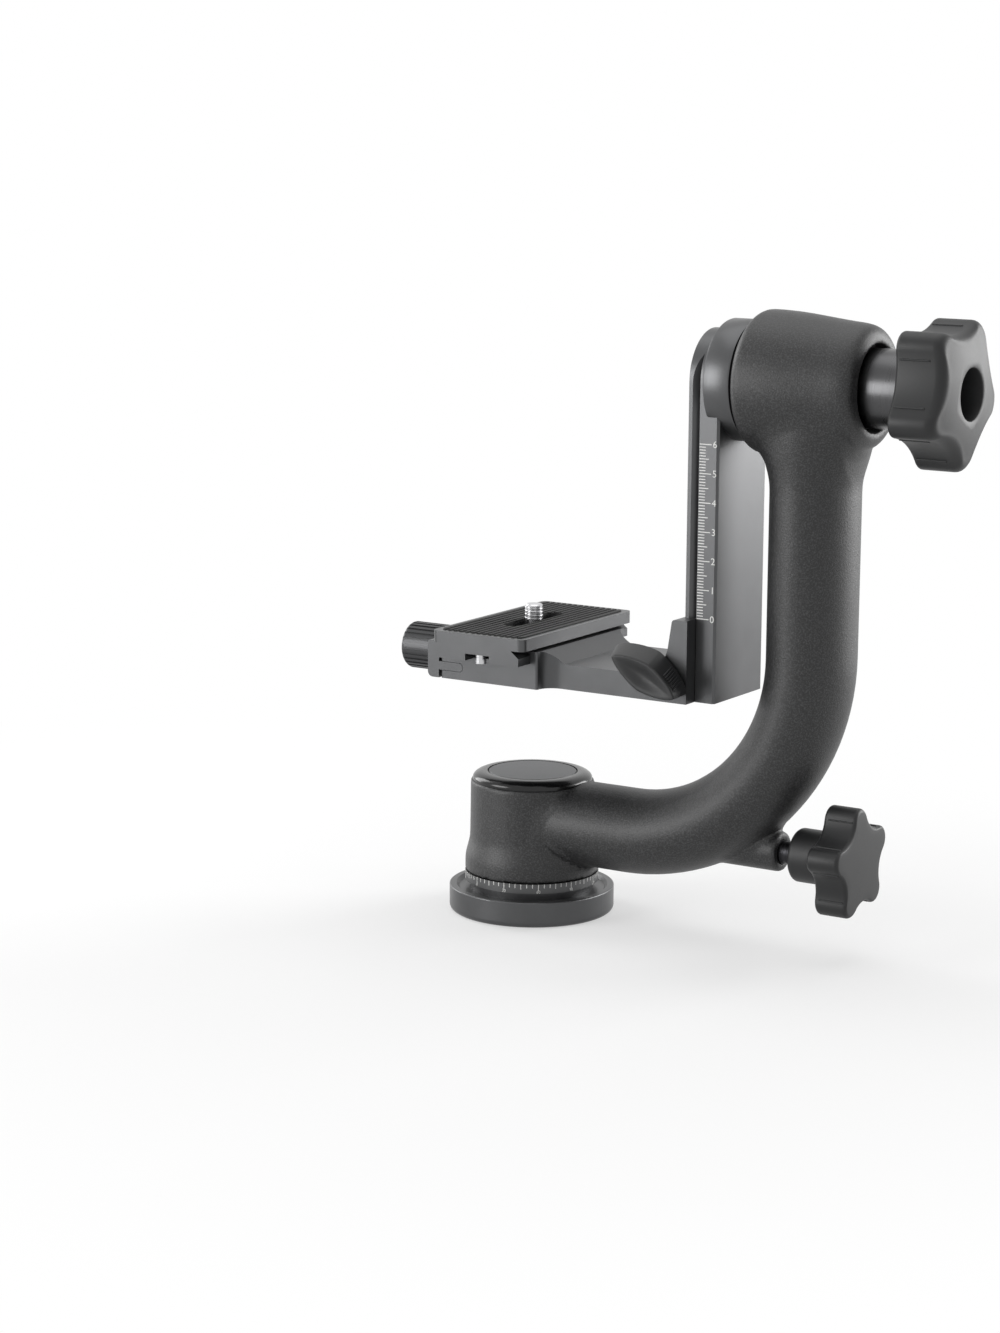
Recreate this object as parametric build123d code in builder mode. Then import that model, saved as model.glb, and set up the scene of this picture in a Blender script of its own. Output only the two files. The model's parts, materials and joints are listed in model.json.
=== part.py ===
from build123d import *
import os
from math import cos, radians, sin

# Gimbal tripod head, in millimetres.
# +Z is up along the pan axis, +X points from the pan axis to the rising side of the arm,
# and Y runs along the lens. The origin is the centre of the base's underside, on the pan axis.

os.makedirs("parts", exist_ok=True)

# ---------------------------------------------------------------- driving dimensions

# Heights and distances that set the head out
tilt_height = 198.1        # tilt axis above the tripod face
arm_height = 34.7          # centre of the arm's level run above the tripod face
upright_reach = 112.0      # pan axis to the centre of the upright
arm_bend_radius = 70.0     # centreline of the bend
arm_half_width = 18.0      # arm section, across (along Y)
arm_half_depth = 15.0      # arm section, in the plane of the bend
pan_lock_height = 35.2     # pan-lock screw above the tripod face

# Clearances
running_gap = 0.2          # between faces that turn or slide past each other
shaft_clearance = 0.05     # radial, between a shaft and what turns on it
seat_clearance = 0.02      # radial, between a bearing and its seat
face_play = 0.1            # axial, between a bearing and the shoulders beside it
cut_overrun = 1.0          # how far a cutting shape passes the face it opens

# Base and degree ring
base_radius = 30.0
base_thickness = 9.5
base_edge_round = 2.0
base_top_round = 0.5
base_rim_width = 2.4
dish_depth = 1.2
base_neck_radius = 22.5
boss_radius = 21.0
ring_radius = 24.3
ring_height = 3.4
ring_lift = 1.8            # underside of the degree ring above the base's rim
tripod_thread_radius = 3.97
tripod_thread_depth = 11.0
base_pad_radius = 25.0
base_pad_groove = 0.6

# Pan spindle and bearings
spindle_radius = 8.5
spindle_flange_radius = 16.0
spindle_flange_thickness = 3.0
spindle_shoulder_radius = 10.5
spindle_shoulder_height = 1.2
spindle_thread_radius = 6.0
spindle_screw_circle = 12.6
spindle_screw_radius = 1.5
spindle_screw_head_radius = 2.8
spindle_screw_length = 5.0
spindle_screw_count = 3
spindle_hole_depth = 3.0
pan_bearing_radius = 17.5
pan_bearing_width = 10.0
upper_bearing_radius = 13.0
upper_bearing_width = 5.0
bearing_race_width = 1.3
shield_recess = 0.4
washer_thickness = 1.0
washer_overhang = 2.5
nut_radius = 9.0
nut_height = 2.4
nut_slot_width = 2.5
nut_slot_depth = 1.6
nut_slot_count = 4

# Hub of the arm and its cap
hub_foot_radius = 24.3
hub_foot_height = 3.6
hub_waist_radius = 22.6
hub_waist_rise = 13.6
hub_top_radius = 22.4
hub_height = 33.4
hub_cavity_radius = 19.0
hub_cavity_height = 4.0
hub_core_radius = 14.0
hub_pocket_radius = 15.0
hub_pocket_depth = 2.1
cap_radius = 21.7
cap_height = 3.1
cap_bevel_radius = 17.2
cap_edge_height = 0.6
cap_spigot_depth = 1.6
cap_spigot_wall = 1.0
badge_radius = 15.9
badge_thickness = 1.2
badge_groove = 0.5
badge_edge_round = 0.3

# Pan lock
lock_boss_radius = 7.0
lock_boss_setback = 9.2    # end of the boss from the upright's centre, toward the hub
lock_boss_round = 1.0
lock_stud_radius = 4.0
push_rod_radius = 3.4
push_rod_chamfer = 0.7
push_rod_inset = 11.2      # end of the push rod inside the boss
brake_shoe_length = 6.0
brake_shoe_radius = 5.2
pan_knob_radius = 19.7
pan_knob_lobe_radius = 5.6
pan_knob_valley_radius = 12.6
pan_knob_thickness = 12.6
pan_knob_overhang = 21.7   # face of the knob beyond the upright's centre
pan_knob_neck_radius = 9.4
pan_knob_neck_length = 12.6
pan_knob_edge_round = 1.1
pan_knob_back_round = 2.2
pan_stud_grip = 6.3        # depth of the stud in the knob's body

# Head of the arm, along the tilt axis
head_inner_reach = 22.0    # from the upright's centre toward the lens
head_outer_reach = 27.5    # and away from it
head_radius = 24.5
head_rim_round = 4.0
head_taper_radius = 21.6
head_mouth_radius = 16.6
head_mouth_reach = 12.0
head_mouth_slope = (0.35, -1.0)
tilt_pocket_radius = 15.0
tilt_pocket_depth = 18.5
tilt_core_radius = 12.0
tilt_inner_bearing_width = 10.0
tilt_inner_bearing_radius = 17.5
tilt_outer_bearing_width = 5.0
tilt_outer_bearing_radius = 13.0
tilt_bearing_inset = 1.0
tilt_shoulder = 2.0
spread_drop = 36.0         # where the upright starts to spread, below the tilt axis
spread_sections = (        # below the tilt axis, growth along X, growth along Y
    (29.5, 1.0, 0.4),
    (23.0, 3.4, 1.2),
    (16.5, 5.6, 1.9),
    (10.0, 6.4, 2.2),
)

# Tilt hub, thrust ring and tilt lock
tilt_hub_radius = 17.3
tilt_hub_thickness = 4.3
tilt_shaft_radius = 8.5
tilt_shaft_length = 32.0
thrust_ring_radius = 17.0
thrust_ring_thickness = 1.8
thrust_ring_chamfer = 0.45
friction_disc_thickness = 2.5
pressure_washer_thickness = 3.1
pressure_washer_chamfer = 0.4
tilt_disc_radius = 14.7
tilt_stud_radius = 4.0
tilt_stud_depth = 24.0
tilt_knob_radius = 26.3
tilt_knob_lobe_radius = 7.6
tilt_knob_valley_radius = 16.6
tilt_knob_thickness = 19.6
tilt_knob_dome_radius = 95.0
tilt_knob_rim_round = 3.2
tilt_knob_edge_round = 1.6
tilt_knob_neck_radius = 13.3
tilt_knob_neck_length = 22.0
finger_hole_radius = 8.7
finger_hole_depth = 15.0
knob_lobe_count = 5
knob_valley_round = 3.6

# Rail
rail_slab_thickness = 7.4
rail_groove_width = 2.9
rail_flange_edge = 1.4
rail_edge_bevel = 0.8
rail_drop = 110.0          # tilt axis to the rail's lower end
rail_screw_offset = 9.0
rail_screw_radius = 2.0
rail_screw_head_radius = 3.8
rail_screw_head_depth = 3.6
rail_screw_length = 15.0
rail_screw_socket_radius = 2.1   # to the hexagon's corners
rail_screw_socket_depth = 2.0
rail_pin_radius = 4.0
rail_pin_depth = 3.0
rail_stop_radius = 1.2
rail_stop_rise = 3.0
rail_stop_depth = 6.0

# Bracket: platform, leg and the fixed jaw of the clamp
platform_thickness = 8.9
bracket_half_width = 23.3
leg_height = 29.0
leg_top_thickness = 5.9
leg_root_thickness = 9.0
leg_root_round = 12.0
leg_crown_round = 1.2
clamp_half_length = 29.9
clamp_half_width = 20.2
clamp_flute_radius = 5.6
clamp_corner_round = 0.8
fixed_jaw_height = 4.5
fixed_jaw_outer = 27.5     # foot of the fixed jaw's outer slope, from the plate's centre
fixed_jaw_slope = 7.3

# Quick-release plate
plate_gap = 0.1            # between the plate or the rail and the faces that hold it
plate_half_width = 19.1
plate_foot_half_width = 17.1
plate_neck_half_width = 13.9
plate_half_length = 37.5
plate_foot_height = 2.8
plate_notch_height = 2.5
plate_flange_height = 4.3
plate_corner_round = 2.4
plate_groove_width = 10.0
plate_groove_depth = 2.5
plate_slot_length = 34.0
camera_screw_radius = 3.175
camera_screw_rise = 6.0
camera_screw_chamfer = 0.5
camera_screw_neck_radius = 2.4
camera_screw_neck_rise = 0.1   # neck above the pad
camera_screw_head_radius = 4.7
camera_screw_head_height = 2.0
coin_slot_width = 1.4
coin_slot_depth = 1.0
pad_recess = 0.6
pad_proud = 0.4
pad_margin = 2.2
pad_rib_pitch = 2.4
pad_groove_count = 13
stop_pin_radius = 1.9
stop_pin_drop = 0.8
stop_pin_depth = 5.5
stop_pin_inset = 2.6

# Movable jaw and its screw
jaw_thickness = 4.7
jaw_gap = 0.9
jaw_foot_round = 2.0
jaw_crown_round = 1.2
tongue_thickness = 3.0
tongue_reach = 9.2
tongue_clearance = 0.15
clamp_screw_radius = 3.0
clamp_screw_end = 3.0
clamp_screw_length = 46.0
clamp_screw_chamfer = 0.6
clamp_knob_radius = 8.6
clamp_knob_length = 18.5
clamp_collar_radius = 6.4
clamp_collar_length = 8.0
clamp_knob_edge_round = 1.6
clamp_knob_back_chamfer = 0.8
clamp_rib_count = 28
clamp_rib_depth = 0.45
clamp_rib_width = 0.9

# Height lock
height_screw_radius = 2.5
height_screw_inset = 7.0   # screw axis from the rail's inner face
height_screw_rise = 10.0   # screw axis above the platform's underside
height_screw_length = 60.0
height_jaw_height = 22.0
height_jaw_thickness = 6.0
height_jaw_overhang = 4.5  # jaw beyond its screw, away from the rail
height_jaw_round = 2.0
height_knob_length = 28.0
height_knob_width = 10.6
height_knob_thickness = 10.4
height_knob_angle = 27.7
height_knob_end_round = 2.2
height_knob_edge_round = 0.8
dimple_depth = 0.9
dimple_radius = 11.0

# ---------------------------------------------------------------- places worked out from them

TILT_AXIS = Axis((0, 0, tilt_height), (1, 0, 0))
ALONG_Z = (Align.CENTER, Align.CENTER, Align.MIN)
BACK_ALONG_Z = (Align.CENTER, Align.CENTER, Align.MAX)
TURN_TO_X = (0, 90, 0)     # turns a cylinder's own axis from +Z to +X
TURN_TO_Y = (-90, 0, 0)    # and from +Z to +Y

ring_bottom = base_thickness + ring_lift
ring_top = ring_bottom + ring_height
hub_bottom = ring_top + running_gap
hub_top = hub_bottom + hub_height
flange_top = ring_top + spindle_flange_thickness
shoulder_top = flange_top + spindle_shoulder_height
cavity_top = hub_bottom + hub_cavity_height
lower_bearing_bottom = shoulder_top + face_play
lower_bearing_top = lower_bearing_bottom + pan_bearing_width
upper_bearing_top = hub_top - hub_pocket_depth
upper_bearing_bottom = upper_bearing_top - upper_bearing_width
washer_bottom = upper_bearing_top + face_play
washer_top = washer_bottom + washer_thickness
nut_top = washer_top + nut_height
cap_top = hub_top + cap_height
cap_bore_radius = hub_pocket_radius - cap_spigot_wall

bend_start = upright_reach - arm_bend_radius
head_inner_face = upright_reach - head_inner_reach
head_outer_face = upright_reach + head_outer_reach
head_rim_start = head_inner_face + head_rim_round
inner_bearing_start = head_inner_face + tilt_bearing_inset
inner_bearing_end = inner_bearing_start + tilt_inner_bearing_width
pocket_floor = head_outer_face - tilt_pocket_depth
outer_bearing_end = pocket_floor - tilt_shoulder
outer_bearing_start = outer_bearing_end - tilt_outer_bearing_width

thrust_ring_start = head_inner_face - running_gap - thrust_ring_thickness
rail_outer_face = thrust_ring_start - tilt_hub_thickness
slab_inner_face = rail_outer_face - rail_slab_thickness
rail_edge_end = slab_inner_face - rail_groove_width
rail_inner_face = rail_edge_end - rail_flange_edge
rail_bottom = tilt_height - rail_drop
tilt_shaft_end = thrust_ring_start + tilt_shaft_length
friction_disc_end = pocket_floor + friction_disc_thickness
pressure_washer_start = friction_disc_end + running_gap
tilt_neck_start = pressure_washer_start + pressure_washer_thickness + running_gap
tilt_knob_back = tilt_neck_start + tilt_knob_neck_length
tilt_knob_face = tilt_knob_back + tilt_knob_thickness
tilt_stud_start = tilt_shaft_end - tilt_stud_depth + running_gap
finger_hole_floor = tilt_knob_face - finger_hole_depth

platform_top = rail_bottom + platform_thickness
leg_top = rail_bottom + leg_height
leg_inner_face = rail_inner_face - running_gap / 2
leg_outer_face = slab_inner_face - running_gap
channel_half_width = tilt_hub_radius + 2 * plate_gap - leg_outer_face + rail_edge_end
stop_pin_x = (rail_edge_end + slab_inner_face) / 2
plate_thickness = plate_foot_height + plate_notch_height + plate_flange_height
plate_bottom = platform_top + plate_gap
plate_foot_top = plate_bottom + plate_foot_height
plate_flange_bottom = plate_foot_top + plate_notch_height
plate_top = plate_bottom + plate_thickness
stop_pin_y = plate_half_length - stop_pin_inset
camera_screw_bottom = plate_bottom + plate_groove_depth - running_gap - camera_screw_head_height
camera_screw_head_top = camera_screw_bottom + camera_screw_head_height
camera_thread_start = plate_top + pad_proud + camera_screw_neck_rise
camera_screw_top = plate_top + camera_screw_rise
jaw_top = platform_top + fixed_jaw_height
notch_slope = (plate_foot_half_width - plate_neck_half_width) / plate_notch_height
jaw_tip = plate_foot_half_width + plate_gap - notch_slope * (jaw_top - plate_foot_top - plate_gap)
clamp_axis_height = rail_bottom + platform_thickness / 2
jaw_start = -(clamp_half_width + jaw_gap + jaw_thickness)
tongue_end = tongue_reach - clamp_half_width
tongue_slot_height = tongue_thickness + 2 * tongue_clearance
clamp_knob_end = jaw_start - running_gap - clamp_collar_length
clamp_knob_start = clamp_knob_end - clamp_knob_length
height_screw_x = rail_inner_face - height_screw_inset
height_screw_z = rail_bottom + height_screw_rise
height_jaw_bottom = rail_bottom + rail_stop_rise + rail_stop_radius + plate_gap
height_jaw_back = height_screw_x - height_jaw_overhang
height_jaw_front = bracket_half_width + plate_gap
height_knob_back = bracket_half_width + running_gap
lock_boss_reach = upright_reach - lock_boss_setback
pan_knob_back = upright_reach + pan_knob_overhang - pan_knob_thickness
pan_neck_start = pan_knob_back - pan_knob_neck_length
pan_stud_end = pan_knob_back + pan_stud_grip
brake_shoe_start = spindle_radius + running_gap / 2
push_rod_start = brake_shoe_start + brake_shoe_length
push_rod_end = lock_boss_reach - push_rod_inset


def star(radius, lobe_radius, valley_radius, first_lobe):
    """Outline of a star knob: round lobes on a round core, with filled valleys."""
    with BuildSketch() as outline:
        Circle(valley_radius)
        with PolarLocations(radius - lobe_radius, knob_lobe_count, start_angle=first_lobe):
            Circle(lobe_radius)
        fillet(outline.vertices(), knob_valley_round)
    return outline.sketch


def bearing(axis, start, width, bore_radius, outer_radius):
    """Shielded ball bearing, as its section turned about the axis.

    The section is drawn with its distance along the axis and its radius swapped
    for an upright axis, so the same bearing serves the pan and the tilt axis.
    """
    end = start + width
    section = [
        (bore_radius, start),
        (bore_radius + bearing_race_width, start),
        (bore_radius + bearing_race_width, start + shield_recess),
        (outer_radius - bearing_race_width, start + shield_recess),
        (outer_radius - bearing_race_width, start),
        (outer_radius, start),
        (outer_radius, end),
        (outer_radius - bearing_race_width, end),
        (outer_radius - bearing_race_width, end - shield_recess),
        (bore_radius + bearing_race_width, end - shield_recess),
        (bore_radius + bearing_race_width, end),
        (bore_radius, end),
    ]
    if axis is TILT_AXIS:
        section = [(along, tilt_height + radius) for radius, along in section]
    with BuildPart() as ring:
        with BuildSketch(Plane.XZ):
            with BuildLine():
                Polyline(*section, close=True)
            make_face()
        revolve(axis=axis)
    return ring.part


def save(piece, name):
    piece.label = name
    export_step(piece, f"parts/{name}.step")


# ---------------------------------------------------------------- base

# The base is a disc with a dished top. A boss in its middle carries the degree ring and,
# bolted on top, the pan spindle. The tripod's screw enters from below.
with BuildPart() as base_plate:
    with BuildSketch(Plane.XZ):
        with BuildLine():
            Polyline(
                (0, 0),
                (base_radius, 0),
                (base_radius, base_thickness),
                (base_radius - base_rim_width, base_thickness),
                (base_radius - base_rim_width - dish_depth, base_thickness - dish_depth),
                (base_neck_radius, base_thickness - dish_depth),
                (base_neck_radius, ring_bottom),
                (boss_radius, ring_bottom),
                (boss_radius, ring_top),
                (0, ring_top),
                close=True,
            )
        make_face()
    revolve(axis=Axis.Z)
    rim = base_plate.edges().filter_by(GeomType.CIRCLE).group_by(SortBy.RADIUS)[-1].sort_by(Axis.Z)
    fillet(rim[0], base_edge_round)
    fillet(rim[-1], base_top_round)
    with Locations((0, 0, tripod_thread_depth / 2)):
        Cylinder(tripod_thread_radius, tripod_thread_depth, mode=Mode.SUBTRACT)
    with BuildSketch(Plane.XY):
        Circle(base_pad_radius)
        Circle(base_pad_radius - base_pad_groove, mode=Mode.SUBTRACT)
    extrude(amount=base_pad_groove, mode=Mode.SUBTRACT)
    with Locations(Plane.XY.offset(ring_top)):
        with PolarLocations(spindle_screw_circle, spindle_screw_count):
            Hole(spindle_screw_radius, depth=spindle_hole_depth)
save(base_plate.part, "base_plate")

with BuildPart() as degree_ring:
    with BuildSketch(Plane.XY.offset(ring_bottom)):
        Circle(ring_radius)
        Circle(boss_radius + seat_clearance, mode=Mode.SUBTRACT)
    extrude(amount=ring_height)
save(degree_ring.part, "degree_ring")

# The spindle's flange is bolted to the boss. Its shaft carries both pan bearings, and a nut
# on its threaded end draws the arm down.
with BuildPart() as pan_spindle:
    with BuildSketch(Plane.XZ):
        with BuildLine():
            Polyline(
                (0, ring_top),
                (spindle_flange_radius, ring_top),
                (spindle_flange_radius, flange_top),
                (spindle_shoulder_radius, flange_top),
                (spindle_shoulder_radius, shoulder_top),
                (spindle_radius, shoulder_top),
                (spindle_radius, washer_bottom),
                (spindle_thread_radius, washer_bottom),
                (spindle_thread_radius, nut_top),
                (0, nut_top),
                close=True,
            )
        make_face()
    revolve(axis=Axis.Z)
    with Locations(Plane.XY.offset(flange_top)):
        with PolarLocations(spindle_screw_circle, spindle_screw_count):
            CounterSinkHole(
                spindle_screw_radius,
                spindle_screw_head_radius,
                depth=spindle_flange_thickness,
            )
save(pan_spindle.part, "pan_spindle")

with BuildPart() as spindle_screws:
    with Locations(Plane.XY.offset(flange_top)):
        with PolarLocations(spindle_screw_circle, spindle_screw_count):
            Cone(
                spindle_screw_radius,
                spindle_screw_head_radius,
                spindle_screw_head_radius - spindle_screw_radius,
                align=BACK_ALONG_Z,
            )
            Cylinder(spindle_screw_radius, spindle_screw_length, align=BACK_ALONG_Z)
save(spindle_screws.part, "spindle_screws")

save(
    bearing(
        Axis.Z,
        lower_bearing_bottom,
        pan_bearing_width,
        spindle_radius + shaft_clearance,
        pan_bearing_radius,
    ),
    "pan_bearing_lower",
)
save(
    bearing(
        Axis.Z,
        upper_bearing_bottom,
        upper_bearing_width,
        spindle_radius + shaft_clearance,
        upper_bearing_radius,
    ),
    "pan_bearing_upper",
)

with BuildPart() as pan_washer:
    with BuildSketch(Plane.XY.offset(washer_bottom)):
        Circle(spindle_radius + washer_overhang)
        Circle(spindle_thread_radius + shaft_clearance, mode=Mode.SUBTRACT)
    extrude(amount=washer_thickness)
save(pan_washer.part, "pan_washer")

with BuildPart() as pan_nut:
    with BuildSketch(Plane.XY.offset(washer_top)):
        Circle(nut_radius)
        with PolarLocations(nut_radius, nut_slot_count):
            Rectangle(2 * nut_slot_depth, nut_slot_width, mode=Mode.SUBTRACT)
        Circle(spindle_thread_radius + seat_clearance, mode=Mode.SUBTRACT)
    extrude(amount=nut_height)
save(pan_nut.part, "pan_nut")

# ---------------------------------------------------------------- arm

# One casting: the hub over the base, an oval tube that runs level, bends up and rises, and a
# barrel across its top. The tube spreads into the barrel, and the pan lock's boss stands out
# of the outside of the bend.
with BuildPart() as arm:
    with BuildLine(Plane.XZ) as route:
        level_run = Line((hub_core_radius, arm_height), (bend_start, arm_height))
        bend = JernArc(level_run @ 1, level_run % 1, arm_bend_radius, 90)
        Line(bend @ 1, (upright_reach, tilt_height - spread_drop))
    with BuildSketch(Plane.YZ.offset(hub_core_radius)):
        with Locations((0, arm_height)):
            Ellipse(arm_half_width, arm_half_depth)
    sweep(path=route.wire())

    # The upright spreads into the barrel.
    for drop, growth_x, growth_y in ((spread_drop, 0.0, 0.0), *spread_sections):
        with BuildSketch(Plane.XY.offset(tilt_height - drop)):
            with Locations((upright_reach, 0)):
                Ellipse(arm_half_depth + growth_x, arm_half_width + growth_y)
    loft()

    # Hub, flared at its foot
    with BuildSketch(Plane.XZ):
        with BuildLine():
            Polyline(
                (0, hub_top),
                (0, hub_bottom),
                (hub_foot_radius, hub_bottom),
                (hub_foot_radius, hub_bottom + hub_foot_height),
            )
            Spline(
                (hub_foot_radius, hub_bottom + hub_foot_height),
                (hub_waist_radius, hub_bottom + hub_waist_rise),
                tangents=[(0, 1), (0, 1)],
            )
            Polyline(
                (hub_waist_radius, hub_bottom + hub_waist_rise),
                (hub_top_radius, hub_top),
                (0, hub_top),
            )
        make_face()
    revolve(axis=Axis.Z)

    # Barrel of the head
    with BuildSketch(Plane.XZ):
        with BuildLine():
            barrel_face = Line(
                (head_inner_face, tilt_height),
                (head_inner_face, tilt_height + head_radius - head_rim_round),
            )
            barrel_rim = RadiusArc(
                barrel_face @ 1,
                (head_rim_start, tilt_height + head_radius),
                head_rim_round,
            )
            Spline(
                barrel_rim @ 1,
                (head_outer_face - head_mouth_reach, tilt_height + head_taper_radius),
                (head_outer_face, tilt_height + head_mouth_radius),
                tangents=[(1, 0), head_mouth_slope],
            )
            Line((head_outer_face, tilt_height + head_mouth_radius), (head_outer_face, tilt_height))
            Line((head_outer_face, tilt_height), (head_inner_face, tilt_height))
        make_face()
    revolve(axis=TILT_AXIS)

    # Boss of the pan lock
    with Locations((bend_start, 0, pan_lock_height)):
        Cylinder(lock_boss_radius, lock_boss_reach - bend_start, rotation=TURN_TO_X, align=ALONG_Z)
    boss_end = arm.faces().sort_by_distance((lock_boss_reach, 0, pan_lock_height))[0]
    fillet(boss_end.edges(), lock_boss_round)

    # Seat of the cap, sunk into the tube where it meets the hub
    with Locations((0, 0, hub_top)):
        Cylinder(cap_radius + running_gap, 2 * cap_height, align=ALONG_Z, mode=Mode.SUBTRACT)

    # Bores of the pan axis
    for bottom, top, radius in (
        (hub_bottom, cavity_top, hub_cavity_radius),
        (cavity_top, lower_bearing_top, pan_bearing_radius + seat_clearance),
        (lower_bearing_top, upper_bearing_bottom, hub_core_radius),
        (upper_bearing_bottom, upper_bearing_top, upper_bearing_radius + seat_clearance),
        (upper_bearing_top, hub_top, hub_pocket_radius),
    ):
        with Locations((0, 0, bottom)):
            Cylinder(radius, top - bottom, align=ALONG_Z, mode=Mode.SUBTRACT)

    # Bore of the pan lock
    with Locations((0, 0, pan_lock_height)):
        Cylinder(
            lock_stud_radius + shaft_clearance,
            lock_boss_reach,
            rotation=TURN_TO_X,
            align=ALONG_Z,
            mode=Mode.SUBTRACT,
        )
        Cylinder(
            brake_shoe_radius + running_gap,
            pan_bearing_radius + running_gap,
            rotation=TURN_TO_X,
            align=ALONG_Z,
            mode=Mode.SUBTRACT,
        )

    # Bores of the tilt axis
    for start, end, radius in (
        (head_inner_face, inner_bearing_end, tilt_inner_bearing_radius + seat_clearance),
        (inner_bearing_end, outer_bearing_start, tilt_core_radius),
        (outer_bearing_start, outer_bearing_end, tilt_outer_bearing_radius + seat_clearance),
        (outer_bearing_end, pocket_floor, tilt_core_radius),
        (pocket_floor, head_outer_face, tilt_pocket_radius),
    ):
        with Locations((start, 0, tilt_height)):
            Cylinder(radius, end - start, rotation=TURN_TO_X, align=ALONG_Z, mode=Mode.SUBTRACT)
save(arm.part, "arm")

# The cap is a bevelled ring that holds a plain disc.
with BuildPart() as cap_ring:
    with BuildSketch(Plane.XZ):
        with BuildLine():
            Line((cap_bore_radius, hub_top), (cap_bore_radius, cap_top - badge_thickness))
            Polyline(
                (cap_bore_radius, cap_top - badge_thickness),
                (badge_radius + badge_groove, cap_top - badge_thickness),
                (badge_radius + badge_groove, cap_top),
                (cap_bevel_radius, cap_top),
            )
            EllipticalCenterArc(
                (cap_bevel_radius, hub_top + cap_edge_height),
                cap_radius - cap_bevel_radius,
                cap_height - cap_edge_height,
                start_angle=0,
                arc_size=90,
            )
            Polyline(
                (cap_radius, hub_top + cap_edge_height),
                (cap_radius, hub_top),
                (cap_bore_radius, hub_top),
            )
        make_face()
    revolve(axis=Axis.Z)
    with BuildSketch(Plane.XY.offset(hub_top)):
        Circle(hub_pocket_radius - seat_clearance)
        Circle(cap_bore_radius, mode=Mode.SUBTRACT)
    extrude(amount=-cap_spigot_depth)
save(cap_ring.part, "cap_ring")

with BuildPart() as cap_disc:
    with BuildSketch(Plane.XY.offset(cap_top - badge_thickness)):
        Circle(badge_radius)
    extrude(amount=badge_thickness)
    fillet(cap_disc.edges().sort_by(Axis.Z)[-1], badge_edge_round)
save(cap_disc.part, "cap_disc")

# ---------------------------------------------------------------- pan lock

with BuildPart() as pan_lock_knob:
    with BuildSketch(Plane.YZ.offset(pan_knob_back)):
        with Locations((0, pan_lock_height)):
            add(star(pan_knob_radius, pan_knob_lobe_radius, pan_knob_valley_radius, 180))
    extrude(amount=pan_knob_thickness)
    fillet(pan_lock_knob.faces().sort_by(Axis.X)[-1].edges(), pan_knob_edge_round)
    fillet(pan_lock_knob.faces().sort_by(Axis.X)[0].edges(), pan_knob_back_round)
    with Locations((pan_neck_start, 0, pan_lock_height)):
        Cylinder(pan_knob_neck_radius, pan_knob_neck_length, rotation=TURN_TO_X, align=ALONG_Z)
    fillet(pan_lock_knob.faces().sort_by(Axis.X)[0].edges(), pan_knob_back_round)
    with Locations((pan_neck_start, 0, pan_lock_height)):
        Cylinder(
            lock_stud_radius + seat_clearance,
            pan_knob_neck_length + pan_stud_grip,
            rotation=TURN_TO_X,
            align=ALONG_Z,
            mode=Mode.SUBTRACT,
        )
save(pan_lock_knob.part, "pan_lock_knob")

with BuildPart() as pan_lock_stud:
    with Locations((push_rod_end, 0, pan_lock_height)):
        Cylinder(
            lock_stud_radius,
            pan_stud_end - push_rod_end,
            rotation=TURN_TO_X,
            align=ALONG_Z,
        )
save(pan_lock_stud.part, "pan_lock_stud")

with BuildPart() as pan_push_rod:
    with Locations((push_rod_start, 0, pan_lock_height)):
        Cylinder(
            push_rod_radius,
            push_rod_end - push_rod_start,
            rotation=TURN_TO_X,
            align=ALONG_Z,
        )
    chamfer(pan_push_rod.edges().group_by(Axis.X)[-1], push_rod_chamfer)
save(pan_push_rod.part, "pan_push_rod")

# The shoe's end is hollowed to the spindle's curve.
with BuildPart() as pan_brake_shoe:
    with Locations((0, 0, pan_lock_height)):
        Cylinder(brake_shoe_radius, push_rod_start, rotation=TURN_TO_X, align=ALONG_Z)
    with Locations((0, 0, pan_lock_height)):
        Cylinder(brake_shoe_start, 4 * brake_shoe_radius, mode=Mode.SUBTRACT)
save(pan_brake_shoe.part, "pan_brake_shoe")

# ---------------------------------------------------------------- tilt axis

# Flange and shaft are turned in one piece. The rail is screwed to the flange.
with BuildPart() as tilt_hub:
    with BuildSketch(Plane.XZ):
        with BuildLine():
            Polyline(
                (rail_outer_face, tilt_height),
                (rail_outer_face, tilt_height + tilt_hub_radius),
                (thrust_ring_start, tilt_height + tilt_hub_radius),
                (thrust_ring_start, tilt_height + tilt_shaft_radius),
                (tilt_shaft_end, tilt_height + tilt_shaft_radius),
                (tilt_shaft_end, tilt_height),
                close=True,
            )
        make_face()
    revolve(axis=TILT_AXIS)
    with Locations((tilt_shaft_end, 0, tilt_height)):
        Cylinder(
            tilt_stud_radius + shaft_clearance,
            2 * tilt_stud_depth,
            rotation=TURN_TO_X,
            mode=Mode.SUBTRACT,
        )
    with Locations(Plane.YZ.offset(rail_outer_face)):
        with Locations((0, tilt_height)):
            with GridLocations(2 * rail_screw_offset, 2 * rail_screw_offset, 2, 2):
                Cylinder(rail_screw_radius, 2 * tilt_hub_thickness, mode=Mode.SUBTRACT)
    with Locations((rail_outer_face - rail_pin_depth, 0, tilt_height)):
        Cylinder(rail_pin_radius, rail_pin_depth, rotation=TURN_TO_X, align=ALONG_Z)
save(tilt_hub.part, "tilt_hub")

with BuildPart() as thrust_ring:
    with BuildSketch(Plane.YZ.offset(thrust_ring_start)):
        with Locations((0, tilt_height)):
            Circle(thrust_ring_radius)
            Circle(tilt_shaft_radius + seat_clearance, mode=Mode.SUBTRACT)
    extrude(amount=thrust_ring_thickness)
    lens_side_edges = thrust_ring.edges().group_by(Axis.X)[0]
    chamfer(lens_side_edges.sort_by(SortBy.LENGTH)[-1], thrust_ring_chamfer)
save(thrust_ring.part, "thrust_ring")

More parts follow.
